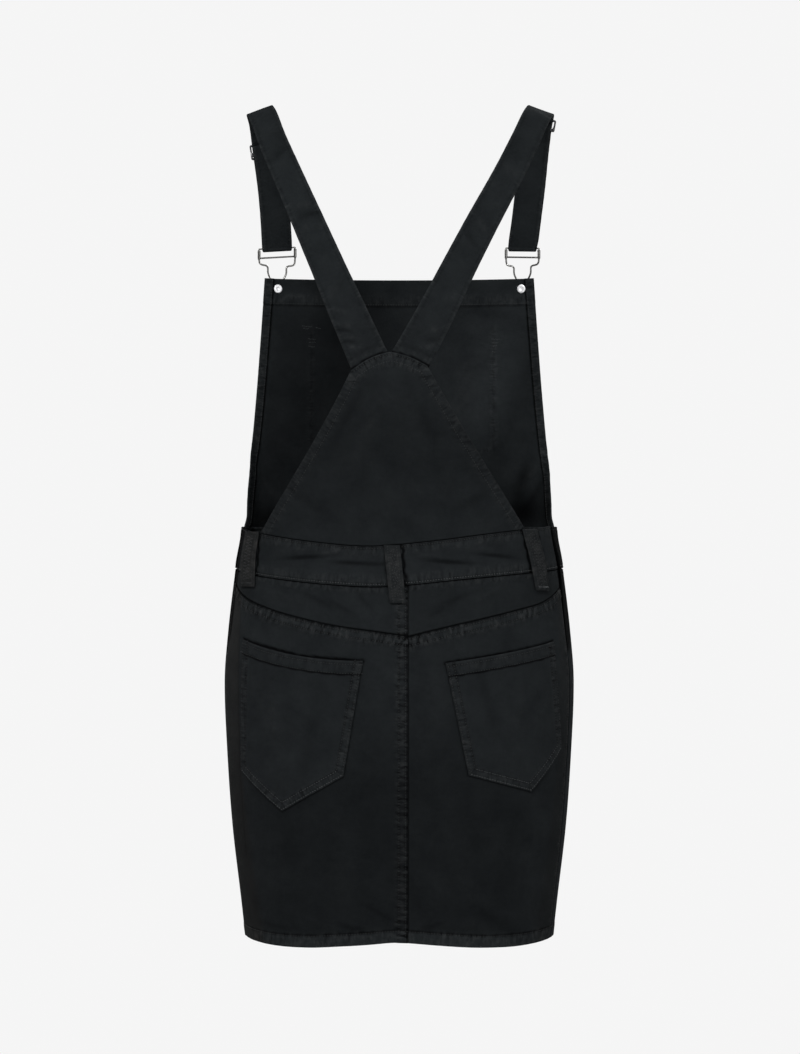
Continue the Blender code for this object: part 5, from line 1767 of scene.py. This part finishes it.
def plating(name, dull, bright, roughness, metallic):
    """Plated metal with faint clouds and scuffs."""
    look = Finish(name, Metallic=metallic, Roughness=roughness)
    spot = look.node("TexCoord", {}, {}, 3)
    cloud, scuff = look.specks(spot, 160.0, 4.0), look.specks(spot, 900.0, 2.0)
    look.wear(
        Base_Color=look.between(cloud, dull, bright),
        Roughness=(scuff * 0.3 + (roughness - 0.14)).within(0.08, 0.8),
        Normal=look.node("Bump", {}, {"Strength": 0.12, "Distance": 0.0002, "Height": scuff}),
    )
    return look


NICKEL = plating("Nickel plate", (0.055, 0.055, 0.053, 1.0), (0.20, 0.197, 0.19, 1.0), 0.26, 1.0)
DARK_NICKEL = plating("Dark nickel plate", (0.035, 0.035, 0.038, 1.0), (0.12, 0.12, 0.124, 1.0), 0.32, 1.0)


def soften(rows, times, closed):
    """A line whose rows are points, with its corners cut a number of times to round them."""
    rows = np.asarray(rows, float)
    for _ in range(times):
        onward = np.roll(rows, -1, axis=0)
        cut = np.stack([lerp(rows, onward, 0.25), lerp(rows, onward, 0.75)], 1).reshape(-1, rows.shape[1])
        rows = cut if closed else np.concatenate([rows[:1], cut[:-2], rows[-1:]])
    return rows


def swept(points, wide, thick, out, closed, sides=12, squareness=1.0):
    """A bar along a flat line: `wide` lies in the line's plane and `thick` along `out`."""
    ahead = np.roll(points, -1, axis=0) - np.roll(points, 1, axis=0)
    if not closed:
        ahead[0], ahead[-1] = points[1] - points[0], points[-1] - points[-2]
    across = unit(np.cross(ahead, out))
    turn = (np.arange(sides) + 0.5) * 2 * math.pi / sides
    x = np.sign(np.cos(turn)) * np.abs(np.cos(turn)) ** squareness
    y = np.sign(np.sin(turn)) * np.abs(np.sin(turn)) ** squareness
    wide, thick = (np.broadcast_to(value, len(points)) for value in (wide, thick))
    rings = points[:, None] + across[:, None] * (x * wide[:, None])[..., None]
    rings = rings + np.asarray(out) * (y * thick[:, None])[..., None]
    first = np.arange(len(points))[:, None] * sides + np.arange(sides)[None]
    nearer = first if closed else first[:-1]
    further = np.roll(first, -1, axis=0) if closed else first[1:]
    quads = np.stack([nearer, further, np.roll(further, -1, axis=1), np.roll(nearer, -1, axis=1)], -1)
    faces = quads.reshape(-1, 4).tolist()
    if not closed:
        faces += [first[0].tolist(), first[-1, ::-1].tolist()]
    return rings.reshape(-1, 3), faces


def fitting(name, parts, look):
    """One object of several bars, which replaces the node of its own name."""
    points, faces, count = [], [], 0
    for part_points, part_faces in parts:
        faces += [[corner + count for corner in face] for face in part_faces]
        points.append(part_points)
        count += len(part_points)
    made = finish_mesh(name + "_metal", np.concatenate(points), faces, look)
    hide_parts(name)
    return made


def drooped(side, across, up):
    """Points of the clasp, scaled across and moved down where its bars' outer ends droop."""
    across = across * CLASP_WIDE[side]
    share = np.clip((up - DROOPS_ABOVE[0]) / (DROOPS_ABOVE[1] - DROOPS_ABOVE[0]), 0, 1)
    return across, up - SIDE[side] * across * math.tan(BAR_DROOP[side]) * share


for side in SIDE:
    origin, across_way, up_way, out_way = clasp_frame(side)
    half_wire = np.array(CLASP_WIRE)
    mirrored = half_wire[-2:0:-1] * (-1, 1, 1)
    wire = soften(np.concatenate([half_wire, mirrored]), 3, True)
    across, up = drooped(side, wire[:, 0], wire[:, 1])
    plane = origin + out_way * CLASP_OUT
    points = plane + across[:, None] * across_way + up[:, None] * up_way
    parts = [swept(points, wire[:, 2], wire[:, 2], out_way, True)]
    ends = np.linspace(-CLASP_WIRE[2][0], CLASP_WIRE[2][0], 12)
    across, up = drooped(side, ends, np.full(12, LOWER_BAR["up"]))
    points = plane + across[:, None] * across_way + up[:, None] * up_way
    parts.append(swept(points, LOWER_BAR["radius"], LOWER_BAR["radius"], out_way, False))
    fitting(f"clasp_{side}", parts, NICKEL)

# ================================================================ the sliders
# A flat ring of dark plated metal in front of each strap, with a bar behind it on two links
# that the strap's end goes round.
SLIDER = {
    "ring": (0.0178, 0.0090),  # half its width and height
    "window": (0.0160, 0.0062),
    "thickness": 0.0016,
    "bar_radius": 0.0011,
    "link_half_height": 0.0022,
}

for side in SIDE:
    course = courses[side]
    point, normal, outer, _ = (values[0] for values in course.stations(np.array([course.slider_place()])))
    up_way = unit(np.cross(normal, outer))
    ring_out = BAND / 2 + PLAY + SLIDER["thickness"] / 2
    middle_x, middle_y = (np.add(SLIDER["ring"], SLIDER["window"]) / 2).tolist()
    half_x, half_y = (np.subtract(SLIDER["ring"], SLIDER["window"]) / 2).tolist()
    corner = (1, 0.7, half_x), (1, 1, half_x), (0.9, 1, half_y)  # shares across and up, half width
    ring = []
    for right, above, order in ((1, 1, 1), (-1, 1, -1), (-1, -1, 1), (1, -1, -1)):
        ring += [(right * x * middle_x, above * y * middle_y, wide) for x, y, wide in corner[::order]]
    ring = soften(ring, 3, True)
    plane = point + normal * ring_out
    points = plane + ring[:, 0:1] * outer + ring[:, 1:2] * up_way
    parts = [swept(points, ring[:, 2], SLIDER["thickness"] / 2, normal, True, 16, 0.6)]
    bar_in = -(BAND / 2 + PLAY + SLIDER["bar_radius"])
    reach = np.linspace(-middle_x, middle_x, 8)[:, None]
    bar = point + normal * bar_in + reach * outer
    parts.append(swept(bar, SLIDER["bar_radius"], SLIDER["bar_radius"], normal, False))
    deepest = bar_in - SLIDER["bar_radius"]
    for end in (-1, 1):
        deep = np.linspace(deepest, ring_out, 6)[:, None]
        link = point + outer * end * middle_x + normal * deep
        parts.append(swept(link, half_x * 0.9, SLIDER["link_half_height"], up_way, False, 16, 0.6))
    fitting(f"slider_{side}", parts, DARK_NICKEL)

# ================================================================ the buttons
# Turned metal buttons with a domed head outside and a riveted back inside: a bright pair on
# the bib for the clasps, and two dark ones at each side opening.
BIB_BUTTON = {"head": 0.0085, "shank": 0.0026, "rivet": 0.0046}
SIDE_BUTTON = {"head": 0.0075, "shank": 0.0022, "rivet": 0.0043}
SIDE_BUTTONS = {"upper": -0.449, "lower": -0.522}
BUTTON_AHEAD = 0.026
SILVER = plating("Bright rivet", (0.52, 0.52, 0.53, 1.0), (0.70, 0.70, 0.71, 1.0), 0.38, 0.35)


def turned(name, origin, across, out, profile, look, steps=40):
    """A button turned about its axis, from its head's centre round to its rivet's centre."""
    rows = soften(profile, 2, False)
    turn = np.arange(steps) * 2 * math.pi / steps
    ring = np.cos(turn)[:, None] * across + np.sin(turn)[:, None] * np.cross(out, across)
    points = origin + rows[1:-1, None, :1] * ring[None] + rows[1:-1, None, 1:] * out
    first = np.arange(len(points))[:, None] * steps + np.arange(steps)[None]
    nearer, further = first[:-1], first[1:]
    quads = np.stack([nearer, further, np.roll(further, -1, axis=1), np.roll(nearer, -1, axis=1)], -1)
    faces = quads.reshape(-1, 4).tolist() + [first[0].tolist(), first[-1, ::-1].tolist()]
    return fitting(name, [(points.reshape(-1, 3), faces)], look)


def bib_button_profile():
    """Radius and distance out from the bib's inner face."""
    head, shank, rivet = BIB_BUTTON["head"], BIB_BUTTON["shank"], BIB_BUTTON["rivet"]
    seat = CLOTH + SEAM + 2 * BAR_RADIUS + SEAM
    under = -2 * SEAM
    return (
        (0.0, seat + 0.0020),
        (head * 0.30, seat + 0.0020),
        (head * 0.38, seat + 0.0025),
        (head * 0.72, seat + 0.0022),
        (head * 0.97, seat + 0.0014),
        (head, seat + 0.0006),
        (head * 0.93, seat),
        (head * 0.60, seat),
        (shank, seat),
        (shank, under),
        (rivet * 0.9, under),
        (rivet, under - 0.0002),
        (rivet, under - 0.0008),
        (rivet * 0.85, under - 0.0013),
        (rivet * 0.45, under - 0.0013),
        (rivet * 0.30, under - 0.0008),
        (0.0, under - 0.0007),
    )


def side_button_profile(cloth):
    """Radius and distance out from the inner face of the cloth that the button goes through."""
    head, shank, rivet = SIDE_BUTTON["head"], SIDE_BUTTON["shank"], SIDE_BUTTON["rivet"]
    seat = cloth + 2 * SEAM
    under = -(UNDERLAP + CLOTH + 2 * SEAM)
    return (
        (0.0, seat + 0.0015),
        (head * 0.30, seat + 0.0015),
        (head * 0.40, seat + 0.0019),
        (head * 0.80, seat + 0.0016),
        (head, seat + 0.0009),
        (head * 0.96, seat),
        (shank, seat),
        (shank, under),
        (rivet, under),
        (rivet, under - 0.0004),
        (rivet * 0.8, under - 0.0009),
        (0.0, under - 0.0009),
    )


for side in SIDE:
    origin, across_way, _, out_way = clasp_frame(side)
    turned(f"button_bib_{side}", origin, across_way, out_way, bib_button_profile(), SILVER)
    for level, height in SIDE_BUTTONS.items():
        along = SIDE[side] * (float(figure.quarter_at("front", height)) - BUTTON_AHEAD)
        place = np.array([along, height])
        out_way = figure.outward("front", place)
        origin = figure.bare("front", place) + out_way * folds(FOLDS, "front", place)
        across_way = unit(np.cross((0, 0, 1), out_way))
        profile = side_button_profile(BAND if level == "upper" else CLOTH)
        turned(f"button_{side}_{level}", origin, across_way, out_way, profile, DARK_NICKEL)
